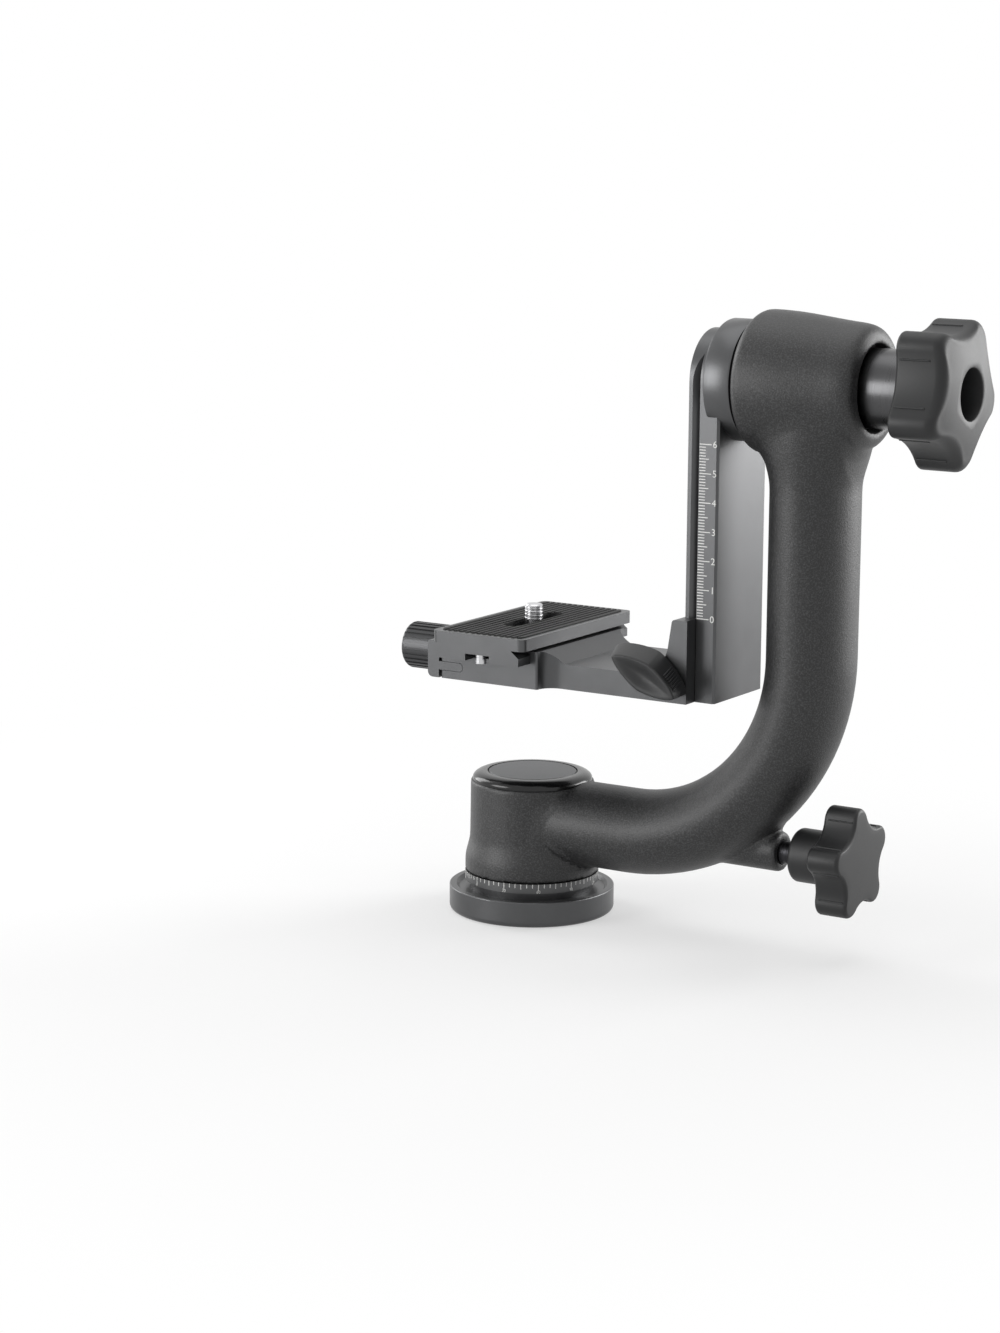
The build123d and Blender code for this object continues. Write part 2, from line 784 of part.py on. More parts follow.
save(
    bearing(
        TILT_AXIS,
        inner_bearing_start,
        tilt_inner_bearing_width,
        tilt_shaft_radius + shaft_clearance,
        tilt_inner_bearing_radius,
    ),
    "tilt_bearing_inner",
)
save(
    bearing(
        TILT_AXIS,
        outer_bearing_start,
        tilt_outer_bearing_width,
        tilt_shaft_radius + shaft_clearance,
        tilt_outer_bearing_radius,
    ),
    "tilt_bearing_outer",
)

with BuildPart() as friction_disc:
    with BuildSketch(Plane.YZ.offset(pocket_floor)):
        with Locations((0, tilt_height)):
            Circle(tilt_disc_radius)
            Circle(tilt_shaft_radius + running_gap, mode=Mode.SUBTRACT)
    extrude(amount=friction_disc_thickness)
save(friction_disc.part, "friction_disc")

with BuildPart() as pressure_washer:
    with BuildSketch(Plane.YZ.offset(pressure_washer_start)):
        with Locations((0, tilt_height)):
            Circle(tilt_disc_radius)
            Circle(tilt_stud_radius + running_gap, mode=Mode.SUBTRACT)
    extrude(amount=pressure_washer_thickness)
    knob_side_edges = pressure_washer.edges().group_by(Axis.X)[-1]
    chamfer(knob_side_edges.sort_by(SortBy.LENGTH)[-1], pressure_washer_chamfer)
save(pressure_washer.part, "pressure_washer")

# The knob's neck reaches into the head's pocket. Its face is domed, with a round well in
# the middle that shows the end of the stud.
with BuildPart() as tilt_lock_knob:
    with BuildSketch(Plane.YZ.offset(tilt_knob_back)):
        with Locations((0, tilt_height)):
            add(star(tilt_knob_radius, tilt_knob_lobe_radius, tilt_knob_valley_radius, 0))
    extrude(amount=tilt_knob_thickness)
    with Locations((tilt_knob_face - tilt_knob_dome_radius, 0, tilt_height)):
        Sphere(tilt_knob_dome_radius, mode=Mode.INTERSECT)
    fillet(tilt_lock_knob.faces().sort_by(Axis.X)[-1].edges(), tilt_knob_rim_round)
    fillet(tilt_lock_knob.faces().sort_by(Axis.X)[0].edges(), tilt_knob_edge_round)
    with Locations((tilt_neck_start, 0, tilt_height)):
        Cylinder(tilt_knob_neck_radius, tilt_knob_neck_length, rotation=TURN_TO_X, align=ALONG_Z)
    with Locations((finger_hole_floor, 0, tilt_height)):
        Cylinder(
            finger_hole_radius,
            finger_hole_depth,
            rotation=TURN_TO_X,
            align=ALONG_Z,
            mode=Mode.SUBTRACT,
        )
    with Locations((tilt_neck_start, 0, tilt_height)):
        Cylinder(
            tilt_stud_radius + seat_clearance,
            finger_hole_floor - tilt_neck_start,
            rotation=TURN_TO_X,
            align=ALONG_Z,
            mode=Mode.SUBTRACT,
        )
save(tilt_lock_knob.part, "tilt_lock_knob")

with BuildPart() as tilt_lock_stud:
    with Locations((tilt_stud_start, 0, tilt_height)):
        Cylinder(
            tilt_stud_radius,
            finger_hole_floor - tilt_stud_start,
            rotation=TURN_TO_X,
            align=ALONG_Z,
        )
save(tilt_lock_stud.part, "tilt_lock_stud")

# ---------------------------------------------------------------- rail

# The rail is a slab with a dovetail flange on its lens side, parted by V grooves. Its upper
# end is rounded about the tilt axis to the tilt hub's radius, so the two run flush.
with BuildPart() as rail:
    with BuildSketch(Plane.XY.offset(rail_bottom)):
        with BuildLine():
            Polyline(
                (rail_inner_face, 0),
                (rail_inner_face, -tilt_hub_radius),
                (rail_edge_end, -tilt_hub_radius),
                (slab_inner_face, rail_groove_width - tilt_hub_radius),
                (slab_inner_face, -tilt_hub_radius),
                (rail_outer_face, -tilt_hub_radius),
                (rail_outer_face, 0),
            )
            mirror(about=Plane.XZ)
        make_face()
    extrude(amount=rail_drop + tilt_hub_radius)
    with BuildSketch(Plane.YZ.offset(rail_inner_face)):
        with Locations((0, tilt_height)):
            Circle(tilt_hub_radius)
        with Locations((0, tilt_height - rail_drop / 2)):
            Rectangle(2 * tilt_hub_radius, rail_drop)
    extrude(amount=rail_outer_face - rail_inner_face, mode=Mode.INTERSECT)
    chamfer(rail.edges().filter_by(Axis.Z).group_by(Axis.X)[-1], rail_edge_bevel)
    with Locations((rail_outer_face, 0, tilt_height)):
        Cylinder(
            rail_pin_radius + seat_clearance,
            2 * (rail_pin_depth + running_gap),
            rotation=TURN_TO_X,
            mode=Mode.SUBTRACT,
        )
    with Locations(Plane(origin=(rail_inner_face, 0, tilt_height), x_dir=(0, 1, 0), z_dir=(-1, 0, 0))):
        with GridLocations(2 * rail_screw_offset, 2 * rail_screw_offset, 2, 2):
            CounterBoreHole(
                rail_screw_radius + seat_clearance,
                rail_screw_head_radius + running_gap,
                rail_screw_head_depth + running_gap,
            )
    with Locations((stop_pin_x, tilt_hub_radius, rail_bottom + rail_stop_rise)):
        Cylinder(
            rail_stop_radius + seat_clearance,
            2 * rail_stop_depth,
            rotation=TURN_TO_Y,
            mode=Mode.SUBTRACT,
        )
save(rail.part, "rail")

# Socket-head screws from the rail into the tilt hub
with BuildPart() as rail_screws:
    screw_plane = Plane(
        origin=(rail_inner_face + running_gap, 0, tilt_height),
        x_dir=(0, 1, 0),
        z_dir=(1, 0, 0),
    )
    with Locations(screw_plane):
        with GridLocations(2 * rail_screw_offset, 2 * rail_screw_offset, 2, 2):
            Cylinder(rail_screw_head_radius, rail_screw_head_depth, align=ALONG_Z)
            Cylinder(rail_screw_radius, rail_screw_length, align=ALONG_Z)
    with BuildSketch(screw_plane):
        with GridLocations(2 * rail_screw_offset, 2 * rail_screw_offset, 2, 2):
            RegularPolygon(rail_screw_socket_radius, 6)
    extrude(amount=rail_screw_socket_depth, mode=Mode.SUBTRACT)
save(rail_screws.part, "rail_screws")

# A pin across the rear V groove keeps the bracket from running off the rail's lower end.
with BuildPart() as rail_stop_pin:
    with Locations((stop_pin_x, tilt_hub_radius - rail_stop_depth, rail_bottom + rail_stop_rise)):
        Cylinder(rail_stop_radius, rail_stop_depth, rotation=TURN_TO_Y, align=ALONG_Z)
save(rail_stop_pin.part, "rail_stop_pin")

# ---------------------------------------------------------------- bracket

# One piece: clamp body with its fixed jaw, platform, and the leg whose front lip hooks into
# the rail's V groove. Behind, the height lock's jaw does the same.
with BuildPart() as bracket:
    with BuildSketch(Plane.XY.offset(rail_bottom)) as planform:
        Rectangle(2 * clamp_half_width, 2 * clamp_half_length)
        fillet(planform.vertices(), clamp_corner_round)
        with Locations((leg_outer_face / 2, 0)):
            Rectangle(leg_outer_face, 2 * bracket_half_width)
        fillet(planform.vertices().sort_by_distance((clamp_half_width, 0))[:2], clamp_flute_radius)
    extrude(amount=platform_thickness + fixed_jaw_height)

    # Platform's top, with the fixed jaw's outer slope
    with BuildSketch(Plane.XZ):
        with BuildLine():
            Polyline(
                (fixed_jaw_outer, platform_top),
                (fixed_jaw_outer - fixed_jaw_slope, jaw_top),
                (fixed_jaw_outer - fixed_jaw_slope, jaw_top + cut_overrun),
                (leg_outer_face + cut_overrun, jaw_top + cut_overrun),
                (leg_outer_face + cut_overrun, platform_top),
                close=True,
            )
        make_face()
    extrude(amount=clamp_half_length + cut_overrun, both=True, mode=Mode.SUBTRACT)

    # Seat of the plate, with the fixed jaw's undercut
    with BuildSketch(Plane.XZ):
        with BuildLine():
            Polyline(
                (-clamp_half_width - cut_overrun, platform_top),
                (plate_foot_half_width + plate_gap, platform_top),
                (plate_foot_half_width + plate_gap, plate_foot_top + plate_gap),
                (jaw_tip, jaw_top),
                (jaw_tip, jaw_top + cut_overrun),
                (-clamp_half_width - cut_overrun, jaw_top + cut_overrun),
                close=True,
            )
        make_face()
    extrude(amount=clamp_half_length + cut_overrun, both=True, mode=Mode.SUBTRACT)

    # Leg
    with BuildSketch(Plane.XZ):
        with BuildLine():
            Polyline(
                (leg_outer_face - leg_root_thickness, rail_bottom),
                (leg_outer_face, rail_bottom),
                (leg_outer_face, leg_top),
                (leg_outer_face - leg_top_thickness, leg_top),
                (leg_outer_face - leg_root_thickness, platform_top),
                close=True,
            )
        make_face()
    extrude(amount=bracket_half_width, both=True)
    for corner_x, corner_z, corner_round in (
        (leg_outer_face - leg_root_thickness, platform_top, leg_root_round),
        (leg_outer_face - leg_top_thickness, leg_top, leg_crown_round),
    ):
        along_leg = bracket.edges().filter_by(Axis.Y)
        fillet(along_leg.sort_by_distance((corner_x, 0, corner_z))[0], corner_round)

    # Channel for the rail's flange. Its front side is undercut to the groove's slope.
    with BuildSketch(Plane.XY.offset(rail_bottom)):
        with BuildLine():
            Polyline(
                (leg_inner_face, tilt_hub_radius + plate_gap),
                (leg_inner_face, -tilt_hub_radius - plate_gap),
                (rail_edge_end + plate_gap, -tilt_hub_radius - plate_gap),
                (leg_outer_face, -channel_half_width),
                (leg_outer_face + cut_overrun, -channel_half_width),
                (leg_outer_face + cut_overrun, tilt_hub_radius + plate_gap),
                close=True,
            )
        make_face()
    extrude(amount=leg_height + cut_overrun, mode=Mode.SUBTRACT)

    # Window for the height lock's jaw
    with Locations((leg_inner_face, tilt_hub_radius, height_jaw_bottom - plate_gap)):
        Box(
            leg_outer_face - leg_inner_face + cut_overrun,
            2 * bracket_half_width,
            height_jaw_height + 2 * plate_gap,
            align=(Align.MIN, Align.MIN, Align.MIN),
            mode=Mode.SUBTRACT,
        )
    with Locations((height_screw_x, 0, height_screw_z)):
        Cylinder(
            height_screw_radius + shaft_clearance,
            3 * bracket_half_width,
            rotation=TURN_TO_Y,
            mode=Mode.SUBTRACT,
        )

    # Slot for the movable jaw's tongue and hole for its screw
    with BuildSketch(Plane.XZ):
        with Locations((tongue_end + tongue_clearance - tongue_slot_height / 2, clamp_axis_height)):
            Circle(tongue_slot_height / 2)
        with Locations((tongue_end + tongue_clearance - tongue_slot_height / 2, clamp_axis_height)):
            Rectangle(2 * tongue_reach, tongue_slot_height, align=(Align.MAX, Align.CENTER))
    extrude(amount=clamp_half_length + cut_overrun, both=True, mode=Mode.SUBTRACT)
    with Locations((clamp_screw_end + running_gap, 0, clamp_axis_height)):
        Cylinder(
            clamp_screw_radius + shaft_clearance,
            2 * clamp_half_width + clamp_screw_end,
            rotation=TURN_TO_X,
            align=BACK_ALONG_Z,
            mode=Mode.SUBTRACT,
        )
save(bracket.part, "bracket")

# ---------------------------------------------------------------- clamp

# The movable jaw mirrors the fixed one. Its tongue slides in the clamp body's slot.
with BuildPart() as clamp_jaw:
    with BuildSketch(Plane.XZ):
        with BuildLine():
            Polyline(
                (-plate_foot_half_width - plate_gap, platform_top + plate_gap),
                (-plate_foot_half_width - plate_gap, plate_foot_top + plate_gap),
                (-jaw_tip, jaw_top),
                (jaw_start, jaw_top),
                (jaw_start, rail_bottom),
                (jaw_start + jaw_thickness, rail_bottom),
                (jaw_start + jaw_thickness, platform_top + plate_gap),
                close=True,
            )
        make_face()
        with Locations((tongue_end - tongue_thickness / 2, clamp_axis_height)):
            Circle(tongue_thickness / 2)
        with Locations((tongue_end - tongue_thickness / 2, clamp_axis_height)):
            Rectangle(
                tongue_end - tongue_thickness / 2 - jaw_start - jaw_thickness / 2,
                tongue_thickness,
                align=(Align.MAX, Align.CENTER),
            )
    extrude(amount=clamp_half_length, both=True)
    outer = clamp_jaw.edges().filter_by(Axis.Y).group_by(Axis.X)[0]
    fillet(outer.sort_by(Axis.Z)[0], jaw_foot_round)
    fillet(clamp_jaw.edges().filter_by(Axis.Y).group_by(Axis.X)[0].sort_by(Axis.Z)[-1], jaw_crown_round)
    with Locations((jaw_start, 0, clamp_axis_height)):
        Cylinder(
            clamp_screw_radius + shaft_clearance,
            4 * jaw_thickness + 2 * tongue_reach,
            rotation=TURN_TO_X,
            mode=Mode.SUBTRACT,
        )
save(clamp_jaw.part, "clamp_jaw")

# Knurled knob: straight ribs, rounded to a dome at its outer end
with BuildPart() as clamp_knob:
    with BuildSketch(Plane.YZ.offset(clamp_knob_start)):
        with Locations((0, clamp_axis_height)):
            Circle(clamp_knob_radius)
            with PolarLocations(clamp_knob_radius, clamp_rib_count):
                Rectangle(2 * clamp_rib_depth, clamp_rib_width, mode=Mode.SUBTRACT)
    extrude(amount=clamp_knob_length)
    with BuildSketch(Plane.XZ):
        with BuildLine():
            knob_axis = Polyline(
                (clamp_knob_end, clamp_axis_height),
                (clamp_knob_start, clamp_axis_height),
                (clamp_knob_start, clamp_axis_height + clamp_knob_radius - clamp_knob_edge_round),
            )
            RadiusArc(
                knob_axis @ 1,
                (clamp_knob_start + clamp_knob_edge_round, clamp_axis_height + clamp_knob_radius),
                clamp_knob_edge_round,
            )
            Polyline(
                (clamp_knob_start + clamp_knob_edge_round, clamp_axis_height + clamp_knob_radius),
                (clamp_knob_end - clamp_knob_back_chamfer, clamp_axis_height + clamp_knob_radius),
                (clamp_knob_end, clamp_axis_height + clamp_knob_radius - clamp_knob_back_chamfer),
                (clamp_knob_end, clamp_axis_height),
            )
        make_face()
    revolve(axis=Axis((0, 0, clamp_axis_height), (1, 0, 0)), mode=Mode.INTERSECT)
    with Locations((clamp_knob_end, 0, clamp_axis_height)):
        Cylinder(clamp_collar_radius, clamp_collar_length, rotation=TURN_TO_X, align=ALONG_Z)
    with Locations((clamp_screw_end, 0, clamp_axis_height)):
        Cylinder(
            clamp_screw_radius + seat_clearance,
            clamp_screw_length,
            rotation=TURN_TO_X,
            align=BACK_ALONG_Z,
            mode=Mode.SUBTRACT,
        )
save(clamp_knob.part, "clamp_knob")

with BuildPart() as clamp_screw:
    with Locations((clamp_screw_end, 0, clamp_axis_height)):
        Cylinder(
            clamp_screw_radius,
            clamp_screw_length,
            rotation=TURN_TO_X,
            align=BACK_ALONG_Z,
        )
    chamfer(clamp_screw.edges().group_by(Axis.X)[-1], clamp_screw_chamfer)
save(clamp_screw.part, "clamp_screw")

# ---------------------------------------------------------------- quick-release plate

# Two flanges with V notches between them. A groove runs along the underside, and a slot
# through the middle takes the camera screw.
with BuildPart() as plate:
    with BuildSketch(Plane.XZ):
        with BuildLine():
            Polyline(
                (0, plate_bottom),
                (plate_foot_half_width, plate_bottom),
                (plate_foot_half_width, plate_foot_top),
                (plate_neck_half_width, plate_flange_bottom),
                (plate_half_width, plate_flange_bottom),
                (plate_half_width, plate_top),
                (0, plate_top),
            )
            mirror(about=Plane.YZ)
        make_face()
    extrude(amount=plate_half_length, both=True)
    upright_edges = plate.edges().filter_by(Axis.Z)
    fillet(
        upright_edges.filter_by_position(Axis.Z, plate_flange_bottom, plate_top),
        plate_corner_round,
    )
    with Locations((0, 0, plate_bottom)):
        Box(plate_groove_width, 3 * plate_half_length, 2 * plate_groove_depth, mode=Mode.SUBTRACT)
    with BuildSketch(Plane.XY.offset(plate_top)):
        RectangleRounded(
            2 * (plate_half_width - pad_margin),
            2 * (plate_half_length - pad_margin),
            plate_corner_round,
        )
    extrude(amount=-pad_recess, mode=Mode.SUBTRACT)
    with BuildSketch(Plane.XY.offset(plate_top)):
        SlotOverall(plate_slot_length, 2 * (camera_screw_radius + running_gap), rotation=90)
    extrude(amount=-plate_thickness, mode=Mode.SUBTRACT)
    with Locations((0, stop_pin_y, plate_bottom), (0, -stop_pin_y, plate_bottom)):
        Cylinder(stop_pin_radius + seat_clearance, 2 * stop_pin_depth, mode=Mode.SUBTRACT)
save(plate.part, "plate")

# Ribbed rubber pad, sunk into the plate's top
with BuildPart() as plate_pad:
    with BuildSketch(Plane.XY.offset(plate_top - pad_recess)):
        RectangleRounded(
            2 * (plate_half_width - pad_margin - running_gap),
            2 * (plate_half_length - pad_margin - running_gap),
            plate_corner_round - running_gap,
        )
        SlotOverall(
            plate_slot_length + 2 * running_gap,
            2 * (camera_screw_radius + 2 * running_gap),
            rotation=90,
            mode=Mode.SUBTRACT,
        )
    extrude(amount=pad_recess + pad_proud)
    with BuildSketch(Plane.XY.offset(plate_top + pad_proud)):
        with GridLocations(pad_rib_pitch, 0, pad_groove_count, 1):
            Rectangle(pad_rib_pitch / 2, 3 * plate_half_length)
    extrude(amount=-pad_proud, mode=Mode.SUBTRACT)
save(plate_pad.part, "plate_pad")

# Camera screw, its head in the groove under the plate, slotted for a coin. Its neck is thinner
# than its thread, so it stays with the plate.
with BuildPart() as camera_screw:
    with BuildSketch(Plane.XZ):
        with BuildLine():
            Polyline(
                (0, camera_screw_bottom),
                (camera_screw_head_radius, camera_screw_bottom),
                (camera_screw_head_radius, camera_screw_head_top),
                (camera_screw_neck_radius, camera_screw_head_top),
                (camera_screw_neck_radius, camera_thread_start),
                (camera_screw_radius, camera_thread_start),
                (camera_screw_radius, camera_screw_top - camera_screw_chamfer),
                (camera_screw_radius - camera_screw_chamfer, camera_screw_top),
                (0, camera_screw_top),
                close=True,
            )
        make_face()
    revolve(axis=Axis.Z)
    with Locations((0, 0, camera_screw_bottom)):
        Box(3 * camera_screw_head_radius, coin_slot_width, 2 * coin_slot_depth, mode=Mode.SUBTRACT)
save(camera_screw.part, "camera_screw")

# Pins under the plate's ends, which meet the clamp's end faces
with BuildPart() as stop_pins:
    with Locations(
        (0, stop_pin_y, plate_bottom - stop_pin_drop),
        (0, -stop_pin_y, plate_bottom - stop_pin_drop),
    ):
        Cylinder(stop_pin_radius, stop_pin_drop + stop_pin_depth, align=ALONG_Z)
save(stop_pins.part, "stop_pins")

# ---------------------------------------------------------------- height lock

# The jaw lies behind the leg and reaches through its window. The screw joins it to the
# knob in front, which draws the jaw into the rail's groove.
with BuildPart() as height_jaw:
    with BuildSketch(Plane.XY.offset(height_jaw_bottom)):
        with BuildLine():
            Polyline(
                (height_jaw_back, height_jaw_front),
                (leg_inner_face + running_gap, height_jaw_front),
                (leg_inner_face + running_gap, tilt_hub_radius + plate_gap),
                (rail_edge_end + plate_gap, tilt_hub_radius + plate_gap),
                (leg_outer_face, channel_half_width),
                (leg_outer_face, height_jaw_front + height_jaw_thickness),
                (height_jaw_back, height_jaw_front + height_jaw_thickness),
                close=True,
            )
        make_face()
    extrude(amount=height_jaw_height)
    rear = height_jaw.edges().filter_by(Axis.Z).group_by(Axis.Y)[-1]
    fillet(rear, height_jaw_round)
    with Locations((height_screw_x, bracket_half_width, height_screw_z)):
        Cylinder(
            height_screw_radius + seat_clearance,
            4 * height_jaw_thickness,
            rotation=TURN_TO_Y,
            mode=Mode.SUBTRACT,
        )
save(height_jaw.part, "height_jaw")

with BuildPart() as height_screw:
    with Locations((height_screw_x, height_jaw_front + height_jaw_thickness, height_screw_z)):
        Cylinder(
            height_screw_radius,
            height_screw_length,
            rotation=TURN_TO_Y,
            align=BACK_ALONG_Z,
        )
save(height_screw.part, "height_screw")

# A leaf-shaped grip with a hollowed face
with BuildPart() as height_lock_knob:
    knob_plane = Plane(
        origin=(height_screw_x, -height_knob_back, height_screw_z),
        x_dir=(cos(radians(height_knob_angle)), 0, -sin(radians(height_knob_angle))),
        z_dir=(0, -1, 0),
    )
    with BuildSketch(knob_plane) as leaf:
        with BuildLine():
            ThreePointArc(
                (-height_knob_length / 2, 0),
                (0, height_knob_width / 2),
                (height_knob_length / 2, 0),
            )
            ThreePointArc(
                (height_knob_length / 2, 0),
                (0, -height_knob_width / 2),
                (-height_knob_length / 2, 0),
            )
        make_face()
        fillet(leaf.vertices(), height_knob_end_round)
    extrude(amount=height_knob_thickness)
    fillet(height_lock_knob.faces().sort_by(Axis.Y)[0].edges(), height_knob_edge_round)
    dimple_y = -(height_knob_back + height_knob_thickness + dimple_radius - dimple_depth)
    with Locations((height_screw_x, dimple_y, height_screw_z)):
        Sphere(dimple_radius, mode=Mode.SUBTRACT)
    with Locations((height_screw_x, 0, height_screw_z)):
        Cylinder(
            height_screw_radius + shaft_clearance,
            height_screw_length - bracket_half_width - height_jaw_thickness + running_gap,
            rotation=TURN_TO_Y,
            align=BACK_ALONG_Z,
            mode=Mode.SUBTRACT,
        )
save(height_lock_knob.part, "height_lock_knob")
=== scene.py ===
# %% [markdown]
# # Dressing a gimbal tripod head
# The head is a cast arm that turns on a round base and carries a tilting rail with a
# quick-release clamp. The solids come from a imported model, already in place and in metres.
# Here they get their finishes, and what the solid model leaves out: printed scales, threads,
# ribs and the soft blends of a casting. The arm, both star knobs and the height lock's leaf
# are drawn again in a closer shape.

import json
import math
from types import SimpleNamespace

import bmesh
import bpy
from mathutils import Matrix, Vector
from mathutils.bvhtree import BVHTree
from mathutils.kdtree import KDTree


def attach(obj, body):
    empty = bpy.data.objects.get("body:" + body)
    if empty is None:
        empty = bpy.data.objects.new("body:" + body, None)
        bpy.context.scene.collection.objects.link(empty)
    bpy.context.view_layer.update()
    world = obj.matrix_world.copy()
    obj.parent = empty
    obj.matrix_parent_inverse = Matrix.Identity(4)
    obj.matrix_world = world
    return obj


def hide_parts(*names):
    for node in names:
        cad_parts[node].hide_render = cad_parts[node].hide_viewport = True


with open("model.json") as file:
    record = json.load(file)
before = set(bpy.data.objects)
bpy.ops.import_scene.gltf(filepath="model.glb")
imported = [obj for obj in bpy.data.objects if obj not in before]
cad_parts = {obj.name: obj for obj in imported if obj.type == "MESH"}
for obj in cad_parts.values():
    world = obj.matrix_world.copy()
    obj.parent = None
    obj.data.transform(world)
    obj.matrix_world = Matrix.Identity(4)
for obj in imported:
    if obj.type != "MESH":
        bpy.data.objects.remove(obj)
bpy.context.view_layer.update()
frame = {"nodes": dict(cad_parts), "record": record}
scene = bpy.context.scene
mm = 0.001

# %% [markdown]
# ## A short way to write shaders
# A finish is a tree of nodes, and arithmetic on its values needs many small Math nodes. The
# class below wraps one output, so that `grain * 0.3 + 0.4` adds those nodes.
# One method, `node`, makes every other kind: its settings first, then its inputs.

# %% Shader values with Python's operators


class Value:
    """One output in a material's node tree, on which Python's arithmetic works."""

    def __init__(self, finish, socket):
        self.finish = finish
        self.socket = socket

    def math(self, operation, other):
        return self.finish.node("ShaderNodeMath", {"operation": operation}, {0: self, 1: other})

    def __add__(self, other):
        return self.math("ADD", other)

    def __sub__(self, other):
        return self.math("SUBTRACT", other)

    def __mul__(self, other):
        return self.math("MULTIPLY", other)

    def clamp(self, low, high):
        return self.math("MINIMUM", high).math("MAXIMUM", low)


class Nodes:
    """A shader node tree to which nodes are added, of a material or of the world."""

    def __init__(self, tree):
        self.tree = tree

    def node(self, kind, settings, inputs, output=0):
        made = self.tree.nodes.new(kind)
        for setting, choice in settings.items():
            setattr(made, setting, choice)
        for socket, source in inputs.items():
            if isinstance(source, Value):
                self.tree.links.new(source.socket, made.inputs[socket])
            else:
                made.inputs[socket].default_value = source
        return Value(self, made.outputs[output])

    def seen_rays(self):
        """1 on rays that show a backdrop: from the camera, a mirror or glass."""
        kinds = ("Is Camera Ray", "Is Glossy Ray", "Is Transmission Ray")
        camera, mirror, glass = (self.node("ShaderNodeLightPath", {}, {}, kind) for kind in kinds)
        return (camera + mirror + glass).clamp(0, 1)


class Finish(Nodes):
    """A material under construction, with its shader and Object coordinates at hand."""

    def __init__(self, name, **constants):
        self.material = bpy.data.materials.new(name)
        self.material.use_nodes = True
        super().__init__(self.material.node_tree)
        self.shader = next(n for n in self.tree.nodes if n.type == "BSDF_PRINCIPLED")
        for socket, constant in constants.items():
            self.shader.inputs[socket.replace("_", " ")].default_value = constant
        self.place = self.node("ShaderNodeTexCoord", {}, {}, "Object")

    def noise(self, size, detail=2.0, place=None):
        """Noise whose grains are about `size` metres across, from 0 to 1."""
        inputs = {"Vector": place or self.place, "Scale": 1 / size, "Detail": detail}
        return self.node("ShaderNodeTexNoise", {}, inputs)

    def stretched(self, stretch):
        """The place with its axes scaled, so that a pattern runs along one of them."""
        return self.node("ShaderNodeMapping", {}, {"Vector": self.place, "Scale": stretch})

    def mix(self, share, first, second):
        """A colour between two, which are linear RGB."""
        inputs = {"Factor": share, 6: (*first, 1.0), 7: (*second, 1.0)}
        return self.node("ShaderNodeMix", {"data_type": "RGBA"}, inputs, 2)

    def feed(self, socket, source):
        self.tree.links.new(source.socket, self.shader.inputs[socket])

    def bump(self, height, depth, strength):
        """Raises the surface by `depth` metres where height is 1."""
        inputs = {"Height": height, "Distance": depth, "Strength": strength}
        self.feed("Normal", self.node("ShaderNodeBump", {}, inputs))


def cover(material, piece):
    """Gives a piece one material, in every slot that it has."""
    slots = piece.data.materials
    if not slots:
        slots.append(material)
    for index in range(len(slots)):
        slots[index] = material


print("shader helpers ready")

# %% [markdown]
# ## The casting's powder coat
# The arm is cast and powder-coated in a dark charcoal with a fine, sandy texture. Two noises
# make it: a fine one for the grains, which raises the surface and scatters the gloss, and a
# broad, faint one for the slow change of tone that keeps a large dark surface from looking flat.

# %% Powder coat


def powder_coat():
    coat = Finish("cast_charcoal", Specular_IOR_Level=0.50, Sheen_Weight=0.02, Sheen_Roughness=0.35)
    grains = coat.noise(0.52 * mm, detail=3.0)
    broad = coat.noise(22 * mm)
    speckle = (grains - 0.44) * 4.2
    hollow, grain = (0.0055, 0.0056, 0.0058), (0.040, 0.0403, 0.0415)
    coat.feed("Base Color", coat.mix(speckle.clamp(0, 1), hollow, grain))
    coat.feed("Roughness", grains * 0.20 + broad * 0.06 + 0.34)
    coat.bump(grains, 0.13 * mm, 0.8)
    return coat.material


cast_charcoal = powder_coat()
print("made", cast_charcoal.name)

# %% [markdown]
# ## Anodised aluminium
# Rail, bracket, clamp and base are milled, bead-blasted and anodised black. The dye lies in a
# clear skin on bare metal, so the finish reflects as a dark metal does: near-black where it
# faces the dark, and light grey where it mirrors a lamp. The grain is much finer than the
# casting's, so it only softens the gloss and hardly raises the surface.

# %% Anodised aluminium


def anodised(name, tone, gloss):
    metal = Finish(name, Metallic=0.85, Specular_IOR_Level=0.5)
    blast = metal.noise(0.22 * mm, detail=1.0)
    wear = metal.noise(9 * mm, detail=4.0)
    light = tuple(channel * 1.25 for channel in tone)
    metal.feed("Base Color", metal.mix(wear, tone, light))
    metal.feed("Roughness", blast * 0.10 + wear * 0.06 + gloss)
    metal.bump(blast, 0.02 * mm, 0.35)
    return metal.material


black_anodised = anodised("black_anodised", (0.080, 0.081, 0.083), 0.28)
dish_anodised = anodised("ring_black", (0.088, 0.089, 0.090), 0.30)
cap_anodised = anodised("cap_disc_grey", (0.110, 0.112, 0.115), 0.38)
knurled_anodised = anodised("knurled_black", (0.050, 0.0505, 0.052), 0.30)
print("made", black_anodised.name, dish_anodised.name, cap_anodised.name, knurled_anodised.name)

# %% [markdown]
# ## Moulded knobs
# The knobs are moulded in a glass-filled plastic: near-black, satin, with a very fine spark
# texture. Where hands rub it, the texture is a little smoother, which the broad noise stands for.

# %% Moulded knobs


def moulded(name, tone, rough):
    plastic = Finish(name, Specular_IOR_Level=0.4)
    spark = plastic.noise(0.30 * mm, detail=1.5)
    rubbed = plastic.noise(12 * mm)
    light = tuple(channel * 1.3 for channel in tone)
    plastic.feed("Base Color", plastic.mix(rubbed, tone, light))
    plastic.feed("Roughness", spark * 0.12 + rubbed * 0.08 + rough)
    plastic.bump(spark, 0.03 * mm, 0.4)
    return plastic.material


